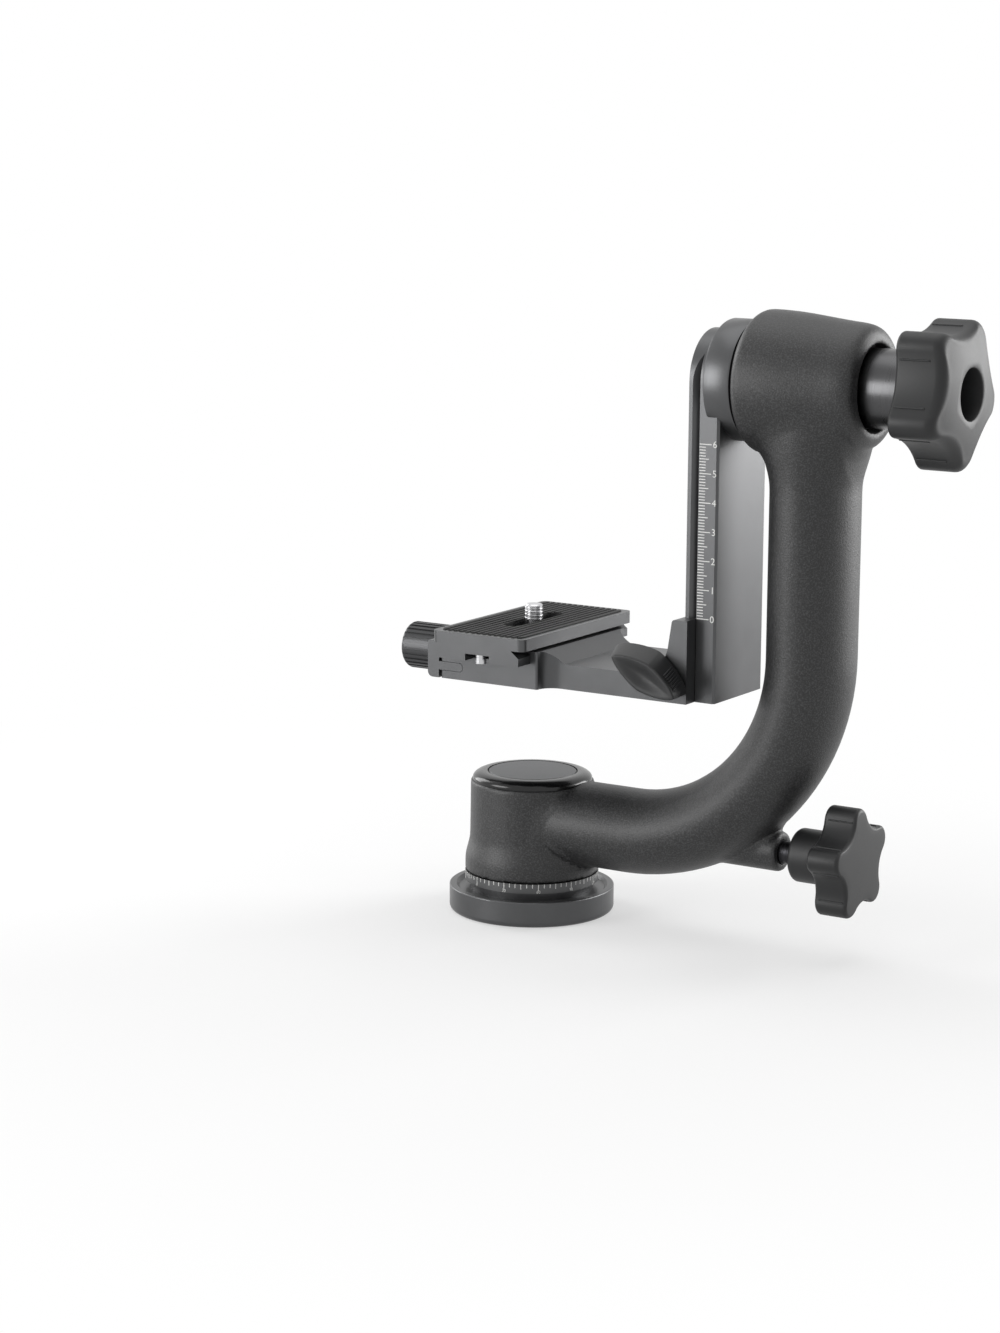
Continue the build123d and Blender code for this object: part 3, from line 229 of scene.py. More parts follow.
knob_black = moulded("knob_black", (0.010, 0.0102, 0.0107), 0.38)
rubber_black = moulded("rubber_black", (0.012, 0.012, 0.012), 0.62)
white_acetal = moulded("white_acetal", (0.72, 0.72, 0.69), 0.35)
print("made", knob_black.name, rubber_black.name, white_acetal.name)

# %% [markdown]
# ## Bare and polished metal
# Screws, spindle and bearings are turned steel, the thrust ring is polished, and the cap's
# bevel is gloss black. Turning leaves fine rings about the axis, so the noise is squeezed along
# that axis and hardly changes around it.

# %% Bare and polished metal


def turned(name, tone, rough, stretch):
    steel = Finish(name, Metallic=1.0)
    rings = steel.noise(0.5 * mm, place=steel.stretched(stretch))
    light = tuple(min(1.0, channel * 1.15) for channel in tone)
    steel.feed("Base Color", steel.mix(rings, tone, light))
    steel.feed("Roughness", rings * 0.16 + rough)
    return steel.material


ABOUT_Z = (0.03, 0.03, 1.0)
ABOUT_X = (1.0, 0.03, 0.03)
bright_steel = turned("bright_steel", (0.50, 0.50, 0.51), 0.20, ABOUT_Z)
bright_steel_x = turned("bright_steel_x", (0.50, 0.50, 0.51), 0.20, ABOUT_X)
black_steel = turned("screw_black", (0.035, 0.035, 0.038), 0.30, ABOUT_X)
chrome = turned("chrome", (0.72, 0.72, 0.74), 0.06, ABOUT_X)
brass = turned("brass", (0.62, 0.44, 0.18), 0.25, ABOUT_X)
neck_black = turned("neck_black", (0.075, 0.075, 0.077), 0.22, ABOUT_X)
gloss_black = moulded("gloss_black", (0.004, 0.004, 0.0042), 0.08)
print("made", bright_steel.name, black_steel.name, chrome.name, brass.name, gloss_black.name)

# %% [markdown]
# ## Finishes on the solids
# Each solid takes the finish of its record's material slot. Steel that lies along X takes the
# version whose rings run about X.

# %% Finish every solid
FINISHES = {
    "cast_charcoal": cast_charcoal,
    "black_anodised": black_anodised,
    "ring_black": dish_anodised,
    "gloss_black": gloss_black,
    "cap_disc_grey": cap_anodised,
    "knob_black": knob_black,
    "knurled_black": knurled_anodised,
    "rubber_black": rubber_black,
    "bright_steel": bright_steel,
    "screw_black": black_steel,
    "chrome": chrome,
    "brass": brass,
    "white_acetal": white_acetal,
}
TURNED_ABOUT_X = (
    "pan_push_rod", "pressure_washer", "tilt_lock_stud", "clamp_screw",
    "tilt_bearing_inner", "tilt_bearing_outer",
)
slot_of = {entry["node"]: entry["material_slot"] for entry in frame["record"]["subparts"]}
for name, node in frame["nodes"].items():
    cover(FINISHES[slot_of[name]], node)
for name in TURNED_ABOUT_X:
    cover(bright_steel_x, frame["nodes"][name])
print("covered", len(slot_of), "solids")

# %% [markdown]
# ## The casting's soft corners
# The solid arm has hard creases where its tube meets the hub, the barrel and the pan lock's
# boss. A casting flows there. The arm's mesh is rebuilt as an even skin, and each crease is
# found as an edge that two faces close to less than a straight angle. Around those creases the
# skin is relaxed. Only outward movement is kept, so hollows fill and nothing else shrinks.
# Then the barrel's outer end is drawn in, past the bearing seats, to its cast length, and a few
# rounds of smoothing even the skin out. Last, its bore round the pan lock's axis is put back on
# the solid's wall, with a little play.

# %% Rebuild the casting
SKIN_STEP = 0.80 * mm
BLEND_REACH = 15 * mm
RELAX_ROUNDS = 370
SOFTEN_ROUNDS = 3
SKIN_SHARP_FROM = 50
CREASE_ANGLE = math.radians(12)
CREASE_SHARES = (0.0, 0.25, 0.5, 0.75, 1.0)
WELD = 0.001 * mm
PAN_BORES = 22.1 * mm
TILT_BORES = 18.5 * mm
PIN_BORE = 6.0 * mm
PIN_PLAY = 0.12 * mm
# The tilt axis and the pan lock's axis run along X, at these heights in mm.
TILT_AXIS, PAN_LOCK_AXIS = 198.1, 35.2
TILT_HEIGHT = TILT_AXIS * mm
PAN_LOCK_HEIGHT = PAN_LOCK_AXIS * mm
BARREL_FIXED_X = 127.0 * mm
BARREL_FOOT_Z = 140.0 * mm
BARREL_SHARE = 0.56


def evaluated_mesh(piece):
    """The piece's mesh with its modifiers worked in."""
    bpy.context.view_layer.update()
    depsgraph = bpy.context.evaluated_depsgraph_get()
    return bpy.data.meshes.new_from_object(piece.evaluated_get(depsgraph))


def smoothed(mesh, sharp_from):
    """Shades a mesh smooth, but for the edges past an angle in degrees."""
    for face in mesh.polygons:
        face.use_smooth = True
    mesh.set_sharp_from_angle(angle=math.radians(sharp_from))
    return mesh


def new_piece(name, mesh, body, material):
    """Links a finished mesh as a piece that rides on a body."""
    piece = bpy.data.objects.new(name, mesh)
    scene.collection.objects.link(piece)
    cover(material, piece)
    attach(piece, body)
    return piece


def outside_creases(mesh):
    """Points along the concave edges on the outside of the arm."""
    shape = bmesh.new()
    shape.from_mesh(mesh)
    points = []
    for edge in shape.edges:
        if len(edge.link_faces) != 2 or edge.calc_face_angle_signed(0.0) > -CREASE_ANGLE:
            continue
        first, second = (vert.co for vert in edge.verts)
        for share in CREASE_SHARES:
            points.append(first.lerp(second, share))
    shape.free()
    return [
        point for point in points
        if math.hypot(point.x, point.y) > PAN_BORES
        and math.hypot(point.y, point.z - TILT_HEIGHT) > TILT_BORES
        and math.hypot(point.y, point.z - PAN_LOCK_HEIGHT) > PIN_BORE
    ]


def casting_skin(node):
    """The arm's mesh as an even skin with soft corners, and the number of crease points."""
    welded = bmesh.new()
    welded.from_mesh(node.data)
    bmesh.ops.remove_doubles(welded, verts=welded.verts, dist=WELD)
    mesh = bpy.data.meshes.new("arm_skin")
    welded.to_mesh(mesh)
    welded.free()
    creases = outside_creases(mesh)
    near = KDTree(len(creases))
    for index, point in enumerate(creases):
        near.insert(point, index)
    near.balance()

    holder = bpy.data.objects.new("arm_skin", mesh)
    scene.collection.objects.link(holder)
    voxels = holder.modifiers.new("voxels", "REMESH")
    voxels.mode = "VOXEL"
    voxels.voxel_size = SKIN_STEP
    holder.data = evaluated_mesh(holder)
    holder.modifiers.clear()

    group = holder.vertex_groups.new(name="blend")
    for vert in holder.data.vertices:
        distance = near.find(vert.co)[2]
        if distance < BLEND_REACH:
            fade = 1 - distance / BLEND_REACH
            group.add([vert.index], fade * fade * (3 - 2 * fade), "REPLACE")
    relax = holder.modifiers.new("relax", "SMOOTH")
    relax.vertex_group = "blend"
    relax.factor = 0.5
    relax.iterations = RELAX_ROUNDS
    relaxed = evaluated_mesh(holder)
    holder.modifiers.clear()
    for vert, target in zip(holder.data.vertices, relaxed.vertices):
        gain = (target.co - vert.co).dot(vert.normal)
        if gain > 0:
            vert.co = vert.co + vert.normal * gain
    for vert in holder.data.vertices:
        beyond = vert.co.x - BARREL_FIXED_X
        if beyond > 0 and vert.co.z > BARREL_FOOT_Z:
            vert.co.x = BARREL_FIXED_X + beyond * BARREL_SHARE
    soften = holder.modifiers.new("soften", "SMOOTH")
    soften.factor = 0.5
    soften.iterations = SOFTEN_ROUNDS
    skin = evaluated_mesh(holder)
    bpy.data.objects.remove(holder)
    solid = BVHTree.FromObject(node, bpy.context.evaluated_depsgraph_get())
    for vert in skin.vertices:
        off_axis = Vector((0, vert.co.y, vert.co.z - PAN_LOCK_HEIGHT))
        if vert.co.x > 0 and off_axis.length < PIN_BORE:
            vert.co = solid.find_nearest(vert.co)[0] + off_axis.normalized() * PIN_PLAY
    return smoothed(skin, SKIN_SHARP_FROM), len(creases)


arm_skin, crease_points = casting_skin(frame["nodes"]["arm"])
arm_piece = new_piece("arm_casting", arm_skin, "arm", cast_charcoal)
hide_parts("arm")
print("arm skin:", len(arm_skin.polygons), "faces, from", crease_points, "crease points")

# %% [markdown]
# ## A short way to write geometry nodes
# Small things that repeat are made by node groups, which are built here, run once on an empty
# mesh, and kept as plain meshes. `Geometry` holds a group with its named inputs, and `build`
# runs it with the values given.

# %% Geometry helper
SOCKET_KINDS = {int: "NodeSocketInt", float: "NodeSocketFloat", tuple: "NodeSocketVector"}
SHARP_FROM = 35


class Geometry:
    """A geometry-node group under construction, whose inputs have names and defaults."""

    def __init__(self, name, **inputs):
        self.group = bpy.data.node_groups.new(name, "GeometryNodeTree")
        for label, default in inputs.items():
            kind = SOCKET_KINDS[type(default)]
            entry = self.group.interface.new_socket(label, in_out="INPUT", socket_type=kind)
            entry.default_value = default
        self.group.interface.new_socket("Mesh", in_out="OUTPUT", socket_type="NodeSocketGeometry")
        self.given = self.group.nodes.new("NodeGroupInput")
        self.result = self.group.nodes.new("NodeGroupOutput")

    def __getattr__(self, label):
        return self.given.outputs[label]

    def node(self, kind, settings=None, inputs=None):
        made = self.group.nodes.new(kind)
        for setting, choice in (settings or {}).items():
            setattr(made, setting, choice)
        for socket, source in (inputs or {}).items():
            if isinstance(source, bpy.types.NodeSocket):
                self.group.links.new(source, made.inputs[socket])
            else:
                made.inputs[socket].default_value = source
        return made.outputs[0]

    def math(self, operation, *operands):
        return self.node("ShaderNodeMath", {"operation": operation}, dict(enumerate(operands)))

    def vector(self, x, y, z=0.0):
        return self.node("ShaderNodeCombineXYZ", None, {0: x, 1: y, 2: z})

    def finish(self, instances, material):
        real = self.node("GeometryNodeRealizeInstances", None, {0: instances})
        coloured = self.node("GeometryNodeSetMaterial", None, {0: real, "Material": material})
        self.group.links.new(coloured, self.result.inputs[0])

    def build(self, name, **values):
        holder = bpy.data.objects.new(name, bpy.data.meshes.new(name))
        scene.collection.objects.link(holder)
        run = holder.modifiers.new("run", "NODES")
        run.node_group = self.group
        sockets = self.group.interface.items_tree
        identifiers = {s.name: s.identifier for s in sockets if s.in_out == "INPUT"}
        for label, value in values.items():
            run[identifiers[label]] = value
        mesh = evaluated_mesh(holder)
        bpy.data.objects.remove(holder)
        mesh.name = name
        return mesh


def moved(mesh, matrix):
    mesh.transform(matrix)
    return mesh


def finished(shape, name):
    """Welds a bmesh, turns its faces outward and ends it as a smooth mesh."""
    bmesh.ops.remove_doubles(shape, verts=shape.verts, dist=WELD)
    bmesh.ops.recalc_face_normals(shape, faces=shape.faces)
    mesh = bpy.data.meshes.new(name)
    shape.to_mesh(mesh)
    shape.free()
    return smoothed(mesh, SHARP_FROM)


print("geometry helper ready")

# %% [markdown]
# ## Printed scales
# The rail carries a scale in centimetres and millimetres, and the degree ring a mark at every
# five degrees. Both are a row of thin bars in three lengths: the bar at every tenth (or sixth)
# place is the longest, the one halfway is in between. The row is straight on the rail and bent
# round the ring, by turning each bar about the pan axis.

# %% White print and the two rows of bars


def print_ink():
    ink = Finish("scale_white", Roughness=0.55)
    worn = ink.noise(0.8 * mm)
    ink.feed("Base Color", ink.mix(worn, (0.62, 0.62, 0.60), (0.78, 0.78, 0.76)))
    return ink.material


scale_white = print_ink()


def bar_length(rows, index):
    """A bar's length from its place in the row."""
    place = rows.math("MODULO", index, rows.Every)
    is_long = rows.math("COMPARE", place, 0.0, 0.1)
    is_middle = rows.math("COMPARE", place, rows.Half, 0.1)
    extra = rows.math("MULTIPLY", is_long, rows.math("SUBTRACT", rows.Long, rows.Short))
    more = rows.math("MULTIPLY", is_middle, rows.math("SUBTRACT", rows.Middle, rows.Short))
    return rows.math("ADD", rows.Short, rows.math("ADD", extra, more))


def bar_rows():
    rows = Geometry(
        "bar rows", Count=61, Step=1.0 * mm, Turn=0.0, Every=10.0, Half=5.0,
        Long=4.6 * mm, Middle=3.6 * mm, Short=2.4 * mm, Width=0.32 * mm, Depth=0.06 * mm,
        Radius=0.0,
    )
    index = rows.node("GeometryNodeInputIndex")
    points = rows.node("GeometryNodeMeshLine", None, {"Count": rows.Count, "Offset": (0, 0, 0)})
    angle = rows.math("MULTIPLY", index, rows.Turn)
    along = rows.math("MULTIPLY", index, rows.Step)
    place = rows.vector(
        rows.math("MULTIPLY", rows.math("COSINE", angle), rows.Radius),
        rows.math("ADD", rows.math("MULTIPLY", rows.math("SINE", angle), rows.Radius), along),
    )
    spread = rows.node("GeometryNodeSetPosition", None, {"Geometry": points, "Position": place})
    cube = rows.node("GeometryNodeMeshCube", None, {"Size": (1, 1, 1)})
    shifted = rows.node("GeometryNodeTransform", None, {"Geometry": cube, "Translation": (0, 0, 0.5)})
    bars = rows.node("GeometryNodeInstanceOnPoints", None, {
        "Points": spread,
        "Instance": shifted,
        "Rotation": rows.vector(0.0, 0.0, angle),
        "Scale": rows.vector(rows.Depth, rows.Width, bar_length(rows, index)),
    })
    rows.finish(bars, scale_white)
    return rows


bars = bar_rows()
print("bar rows take", [item.name for item in bars.group.interface.items_tree])

# %% [markdown]
# A bar's length runs along the group's Z and its row along Y. For the rail, that is turned so
# that bars lie across the rail's front face and the row climbs it. For the ring, the row is
# bent round Z and hung from the ring's upper edge. Numbers are text made into meshes.

# %% Scales on the rail and the degree ring
RAIL_FACE_Y = -17.3 * mm
RAIL_SCALE_X = 76.45 * mm
RAIL_ZERO_Z = 117.3 * mm
RAIL_CENTIMETRES = 6
RAIL_NUMBER_SIZE, RAIL_NUMBER_OFFSET = 3.4 * mm, 5.9 * mm
RING_RADIUS = 24.3 * mm
RING_TOP_Z = 14.7 * mm
RING_NUMBER_Z = 11.95 * mm
RING_ZERO_ANGLE = math.radians(-112.3)
RING_NUMBER_SIZE = 1.5 * mm
RING_DEGREES, RING_NUMBER_DEGREES = 5, 30
NUMBER_DEPTH = 0.03 * mm


def number_mesh(words, size):
    """A number as a thin solid, centred on its own middle, upright in X and Y."""
    curve = bpy.data.curves.new("number", "FONT")
    curve.body = words
    curve.size = size
    curve.align_x = "CENTER"
    curve.align_y = "CENTER"
    curve.extrude = NUMBER_DEPTH
    curve.resolution_u = 4
    holder = bpy.data.objects.new("number", curve)
    scene.collection.objects.link(holder)
    mesh = evaluated_mesh(holder)
    bpy.data.objects.remove(holder)
    return mesh


def joined(name, meshes):
    """Several meshes as one."""
    whole = bmesh.new()
    for mesh in meshes:
        whole.from_mesh(mesh)
    result = bpy.data.meshes.new(name)
    whole.to_mesh(result)
    whole.free()
    return result


def matrix_from(x_axis, y_axis, z_axis, origin):
    return Matrix.Translation(origin) @ Matrix((x_axis, y_axis, z_axis)).transposed().to_4x4()


rail_bars = moved(
    bars.build("rail_bars", Count=10 * RAIL_CENTIMETRES + 1, Step=1.0 * mm),
    matrix_from((0, 1, 0), (0, 0, 1), (1, 0, 0), (RAIL_SCALE_X, RAIL_FACE_Y, RAIL_ZERO_Z)),
)
rail_numbers = [
    moved(
        number_mesh(str(centimetre), RAIL_NUMBER_SIZE),
        matrix_from(
            (1, 0, 0), (0, 0, 1), (0, -1, 0),
            (RAIL_SCALE_X + RAIL_NUMBER_OFFSET, RAIL_FACE_Y, RAIL_ZERO_Z + centimetre * 10 * mm),
        ),
    )
    for centimetre in range(RAIL_CENTIMETRES + 1)
]
ring_bars = moved(
    bars.build(
        "ring_bars", Count=360 // RING_DEGREES, Step=0.0, Turn=math.radians(RING_DEGREES),
        Every=6.0, Half=3.0,
        Long=2.3 * mm, Middle=1.8 * mm, Short=1.35 * mm, Width=0.26 * mm, Radius=RING_RADIUS,
    ),
    Matrix.Translation((0, 0, RING_TOP_Z))
    @ Matrix.Rotation(RING_ZERO_ANGLE, 4, "Z")
    @ Matrix.Rotation(math.pi, 4, "X"),
)
ring_numbers = []
for degrees in range(0, 360, RING_NUMBER_DEGREES):
    angle = RING_ZERO_ANGLE + math.radians(degrees)
    outward = Vector((math.cos(angle), math.sin(angle), 0))
    sideways = Vector((-outward.y, outward.x, 0))
    place = outward * RING_RADIUS + Vector((0, 0, RING_NUMBER_Z))
    ring_numbers.append(
        moved(
            number_mesh(str(degrees), RING_NUMBER_SIZE),
            matrix_from(sideways, (0, 0, 1), outward, place),
        )
    )
rail_scale = new_piece(
    "rail_scale", joined("rail_scale", [rail_bars, *rail_numbers]),
    "cradle", scale_white,
)
ring_scale = new_piece(
    "ring_scale", joined("ring_scale", [ring_bars, *ring_numbers]),
    "base", scale_white,
)
print("scale faces:", len(rail_scale.data.polygons), len(ring_scale.data.polygons))

# %% [markdown]
# ## Screw threads
# A thread is a ridge that climbs a rod in a helix: a spiral curve with a small four-sided
# profile swept along it, half sunk in the metal. In the tripod's socket the half that shows
# stands inward.

# %% Threads
RIDGE_SHARE = 0.28


def thread_group(material):
    thread = Geometry("screw thread", Turns=5.0, Radius=3.0 * mm, Rise=5.0 * mm, Ridge=0.5 * mm)
    spiral = thread.node("GeometryNodeCurveSpiral", None, {
        "Resolution": 48,
        "Rotations": thread.Turns,
        "Start Radius": thread.Radius,
        "End Radius": thread.Radius,
        "Height": thread.Rise,
    })
    profile = thread.node("GeometryNodeCurvePrimitiveCircle", {"mode": "RADIUS"}, {
        "Resolution": 4,
        "Radius": thread.Ridge,
    })
    ridge = thread.node("GeometryNodeCurveToMesh", None, {
        "Curve": spiral,
        "Profile Curve": profile,
        "Fill Caps": True,
    })
    thread.finish(ridge, material)
    return thread


def along_x(x, z):
    """Lays a group's Z along +X, from a point in mm."""
    return matrix_from((0, 0, -1), (0, 1, 0), (1, 0, 0), (x * mm, 0, z * mm))


def upright(z):
    """Stands a group on the pan axis, at a height in mm."""
    return Matrix.Translation((0, 0, z * mm))


THREADS = (
    # name, body, place, radius, length and pitch in mm, finish
    ("camera_screw_thread", "camera_screw", upright(107.35), 2.98, 4.6, 1.27, "bright_steel"),
    ("tripod_socket_thread", "base", upright(0.6), 3.97, 10.2, 1.5875, "black_anodised"),
    ("pan_stud_thread", "pan_lock", along_x(93.0, PAN_LOCK_AXIS), 3.80, 15.6, 1.25, "screw_black"),
    ("tilt_stud_thread", "tilt_lock", along_x(127.2, TILT_AXIS), 3.80, 4.6, 1.25, "bright_steel"),
)
for name, body, place, radius, length, pitch, finish in THREADS:
    mesh = thread_group(FINISHES[finish]).build(
        name, Turns=length / pitch, Radius=radius * mm, Rise=length * mm,
        Ridge=RIDGE_SHARE * pitch * mm,
    )
    new_piece(name, moved(mesh, place), body, FINISHES[finish])
print("threads:", [entry[0] for entry in THREADS])

# %% [markdown]
# ## The star knobs
# A star knob has five narrow lobes, joined by long shallow hollows. Its outline is a radius for
# each direction: an arc of the lobe's circle up to the point where the hollow's arc touches it,
# and the hollow's arc from there to the middle. A section from the neck to the face is drawn
# for each direction, and neighbouring sections are joined by faces.

# %% Star knobs
LOBES = 5
DIRECTIONS = 600
CORNER_STEPS = 6
FACE_RINGS = 5
HOLE_ROUND, HOLE_CORNER = 0.6, 0.2
# Lengths in mm, places along X in mm, and the first lobe's direction in degrees.
TILT_STAR = SimpleNamespace(
    solid="tilt_lock_knob", body="tilt_lock", height=TILT_AXIS, first=-12,
    tip=26.3, lobe=5.2, hollow=20.0, neck_start=127.3, neck=13.3, neck_round=0.3,
    back=149.0, back_round=1.6, face=168.6, dome=95.0, rim_round=4.0,
    bore=4.6, bore_end=140.0, hole=8.7, hole_floor=153.6,
)
PAN_STAR = SimpleNamespace(
    solid="pan_lock_knob", body="pan_lock", height=PAN_LOCK_AXIS, first=168,
    tip=19.7, lobe=4.4, hollow=14.0, neck_start=108.5, neck=9.4, neck_round=1.8,
    back=121.1, back_round=1.6, face=133.7, dome=400.0, rim_round=1.5,
    bore=4.6, bore_end=118.0, hole=0.0, hole_floor=0.0,
)


def star_radius(star, turn):
    """The star's radius at an angle from the middle of a lobe."""
    half = math.pi / LOBES
    centre = star.tip - star.lobe
    along, across = centre * math.cos(half), centre * math.sin(half)
    reach = star.hollow - star.lobe
    far = (reach ** 2 - along ** 2 - across ** 2) / (2 * (reach - along))
    to_hollow = Vector((far * math.cos(half) - centre, far * math.sin(half))).normalized()
    touch = Vector((centre, 0)) + to_hollow * star.lobe
    if abs(turn) < math.atan2(touch.y, touch.x):
        return centre * math.cos(turn) + math.sqrt(star.lobe ** 2 - (centre * math.sin(turn)) ** 2)
    turn = half - abs(turn)
    return far * math.cos(turn) - math.sqrt((far - star.hollow) ** 2 - (far * math.sin(turn)) ** 2)


def corner(x, radius, size, start):
    """Points of a rounded corner about its centre, from an angle through a right angle."""
    angles = (start + math.pi / 2 * step / CORNER_STEPS for step in range(CORNER_STEPS + 1))
    return [(x + size * math.sin(angle), radius + size * math.cos(angle)) for angle in angles]


def knob_section(star, edge):
    """Distances along the axis and radii, from the bore past the rim to the face's middle."""

    def dome(radius):
        return star.face - star.dome + math.sqrt(star.dome ** 2 - radius ** 2)

    neck, back, rim = star.neck_round, star.back_round, star.rim_round
    inner = star.hole + HOLE_ROUND
    section = [(star.bore_end, 0.0), (star.bore_end, star.bore), (star.neck_start, star.bore)]
    section += corner(star.neck_start + neck, star.neck - neck, neck, -math.pi / 2)
    section += [(star.back, star.neck)]
    section += corner(star.back + back, edge - back, back, -math.pi / 2)
    section += corner(dome(edge - rim) - rim, edge - rim, rim, 0.0)
    for step in range(1, FACE_RINGS + 1):
        radius = edge - rim + (inner - edge + rim) * step / FACE_RINGS
        section.append((dome(radius), radius))
    if star.hole == 0:
        return section + [(star.face, 0.0)]
    section += [(dome(inner) - HOLE_CORNER, star.hole + HOLE_CORNER)]
    section += [(dome(inner) - HOLE_ROUND, star.hole)]
    return section + [(star.hole_floor, star.hole), (star.hole_floor, 0.0)]


def closed_surface(name, rows):
    """A mesh through rows of points in mm, with the last row joined to the first."""
    shape = bmesh.new()
    rows = [[shape.verts.new(Vector(point) * mm) for point in row] for row in rows]
    for first, second in zip(rows, rows[1:] + rows[:1]):
        for step in range(len(first) - 1):
            shape.faces.new((first[step], first[step + 1], second[step + 1], second[step]))
    return finished(shape, name)


def turned_row(section, height, angle):
    """A section's points of X and radius, about an axis along X and at an angle from +Y."""
    y_share, z_share = math.cos(angle), math.sin(angle)
    return [(x, radius * y_share, height + radius * z_share) for x, radius in section]


def star_knob(star):
    """Makes a knob's piece, keeps it in `star` and counts its faces."""
    rows = []
    lobe = 2 * math.pi / LOBES
    for index in range(DIRECTIONS):
        turn = 2 * math.pi * index / DIRECTIONS
        edge = star_radius(star, (turn + lobe / 2) % lobe - lobe / 2)
        angle = math.radians(star.first) + turn
        rows.append(turned_row(knob_section(star, edge), star.height, angle))
    name = star.body + "_star"
    star.piece = new_piece(name, closed_surface(name, rows), star.body, knob_black)
    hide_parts(star.solid)
    return len(star.piece.data.polygons)


print("star knob faces:", [star_knob(star) for star in (TILT_STAR, PAN_STAR)])

# %% [markdown]
# ## Raised ribs on the knobs
# Each lobe of a star knob has a fine rib on either flank, which runs along the knob. A rib is
# half sunk in the flank. The five pairs are one rib set out round the axis by a group, at a
# radius that is measured on the knob itself, by a ray toward its axis.

# %% Ribs round an axis
# Degrees off the lobe, and how far out a ray starts, in mm.
RIB_OFFSETS = (-15.7, 15.7)
RAY_START = 60


def rib_group(material):
    ribs = Geometry(
        "ribs round X", Count=LOBES, First=0.0, Step=math.radians(360 / LOBES),
        Radius=10.0 * mm, Length=10.0 * mm, Thickness=0.4 * mm,
    )
    index = ribs.node("GeometryNodeInputIndex")
    points = ribs.node("GeometryNodeMeshLine", None, {"Count": ribs.Count, "Offset": (0, 0, 0)})
    angle = ribs.math("ADD", ribs.First, ribs.math("MULTIPLY", index, ribs.Step))
    place = ribs.vector(
        0.0,
        ribs.math("MULTIPLY", ribs.math("COSINE", angle), ribs.Radius),
        ribs.math("MULTIPLY", ribs.math("SINE", angle), ribs.Radius),
    )
    spread = ribs.node("GeometryNodeSetPosition", None, {"Geometry": points, "Position": place})
    rod = ribs.node("GeometryNodeMeshCylinder", None, {"Vertices": 12, "Radius": 1.0, "Depth": 1.0})
    quarter_turn = (0, math.pi / 2, 0)
    laid = ribs.node("GeometryNodeTransform", None, {"Geometry": rod, "Rotation": quarter_turn})
    rods = ribs.node("GeometryNodeInstanceOnPoints", None, {
        "Points": spread,
        "Instance": laid,
        "Scale": ribs.vector(ribs.Length, ribs.Thickness, ribs.Thickness),
    })
    ribs.finish(rods, material)
    return ribs


def flank_radius(node, x, height, angle):
    """How far from the axis the knob's flank is, in one direction."""
    tree = BVHTree.FromObject(node, bpy.context.evaluated_depsgraph_get())
    outward = Vector((0, math.cos(angle), math.sin(angle)))
    axis = Vector((x, 0, height))
    hit = tree.ray_cast(axis + outward * RAY_START * mm, -outward)[0]
    return (hit - axis).length


rib_rows = rib_group(knob_black)
KNOB_RIBS = (
    # knob, rib from X to X, thickness, in mm
    (TILT_STAR, 150.6, 161.4, 0.34),
    (PAN_STAR, 122.9, 132.0, 0.28),
)
for star, start, end, thickness in KNOB_RIBS:
    middle = (start + end) / 2
    sets = []
    for offset in RIB_OFFSETS:
        angle = math.radians(star.first + offset)
        radius = flank_radius(star.piece, middle * mm, star.height * mm, angle)
        mesh = rib_rows.build(
            "rib_row", First=angle, Radius=radius,
            Length=(end - start) * mm, Thickness=thickness * mm,
        )
        sets.append(moved(mesh, Matrix.Translation((middle * mm, 0, star.height * mm))))
    name = star.body + "_knob_ribs"
    new_piece(name, joined(name, sets), star.body, knob_black)
print("knob ribs:", [entry[0].body for entry in KNOB_RIBS])

# %% [markdown]
# ## The height lock's leaf
# The leaf is broad where it leaves the bracket and narrows to a front face with a long, soft
# hollow. Both outlines are pointed ovals: half lengths along and across, and a power below 2
# that sharpens the ends. A row of serrations climbs the upper flank near the lower tip.

# %% The leaf and its serrations
LEAF_CENTRE = Vector((65.0, -23.5, 98.1))
LEAF_SLOPE = math.radians(26.5)
LEAF_BACK, LEAF_FRONT = (15.8, 7.5), (13.8, 5.2)
LEAF_BACK_SHIFT = -2.6
LEAF_DEPTH, LEAF_HOLLOW, LEAF_ROUND = 10.8, 1.7, 0.9
LEAF_POWER = 1.45
LEAF_DIRECTIONS, LEAF_FACE_RINGS = 240, 10
LEAF_RIB_COUNT, LEAF_FIRST_RIB, LEAF_RIB_PITCH = 7, 6.6, 0.9
LEAF_RIB_LENGTH, LEAF_RIB_THICKNESS = 7.6, 0.34
LEAF_RIB_ENDS = (0.25, 0.75)

down_leaf = Vector((math.cos(LEAF_SLOPE), 0, -math.sin(LEAF_SLOPE)))
across_leaf = Vector((math.sin(LEAF_SLOPE), 0, math.cos(LEAF_SLOPE)))
outward = Vector((0, -1, 0))


def leaf_radius(depth, angle):
    """The outline's radius at a depth from the bracket."""
    share = depth / LEAF_DEPTH
    along, across = (back + (front - back) * share for back, front in zip(LEAF_BACK, LEAF_FRONT))
    lengthwise = abs(math.cos(angle) / along) ** LEAF_POWER
    crosswise = abs(math.sin(angle) / across) ** LEAF_POWER
    return (lengthwise + crosswise) ** (-1 / LEAF_POWER)


def leaf_point(depth, radius, angle):
    sideways = down_leaf * math.cos(angle) + across_leaf * math.sin(angle)
    shift = down_leaf * LEAF_BACK_SHIFT * (1 - depth / LEAF_DEPTH)
    return LEAF_CENTRE + outward * depth + shift + sideways * radius


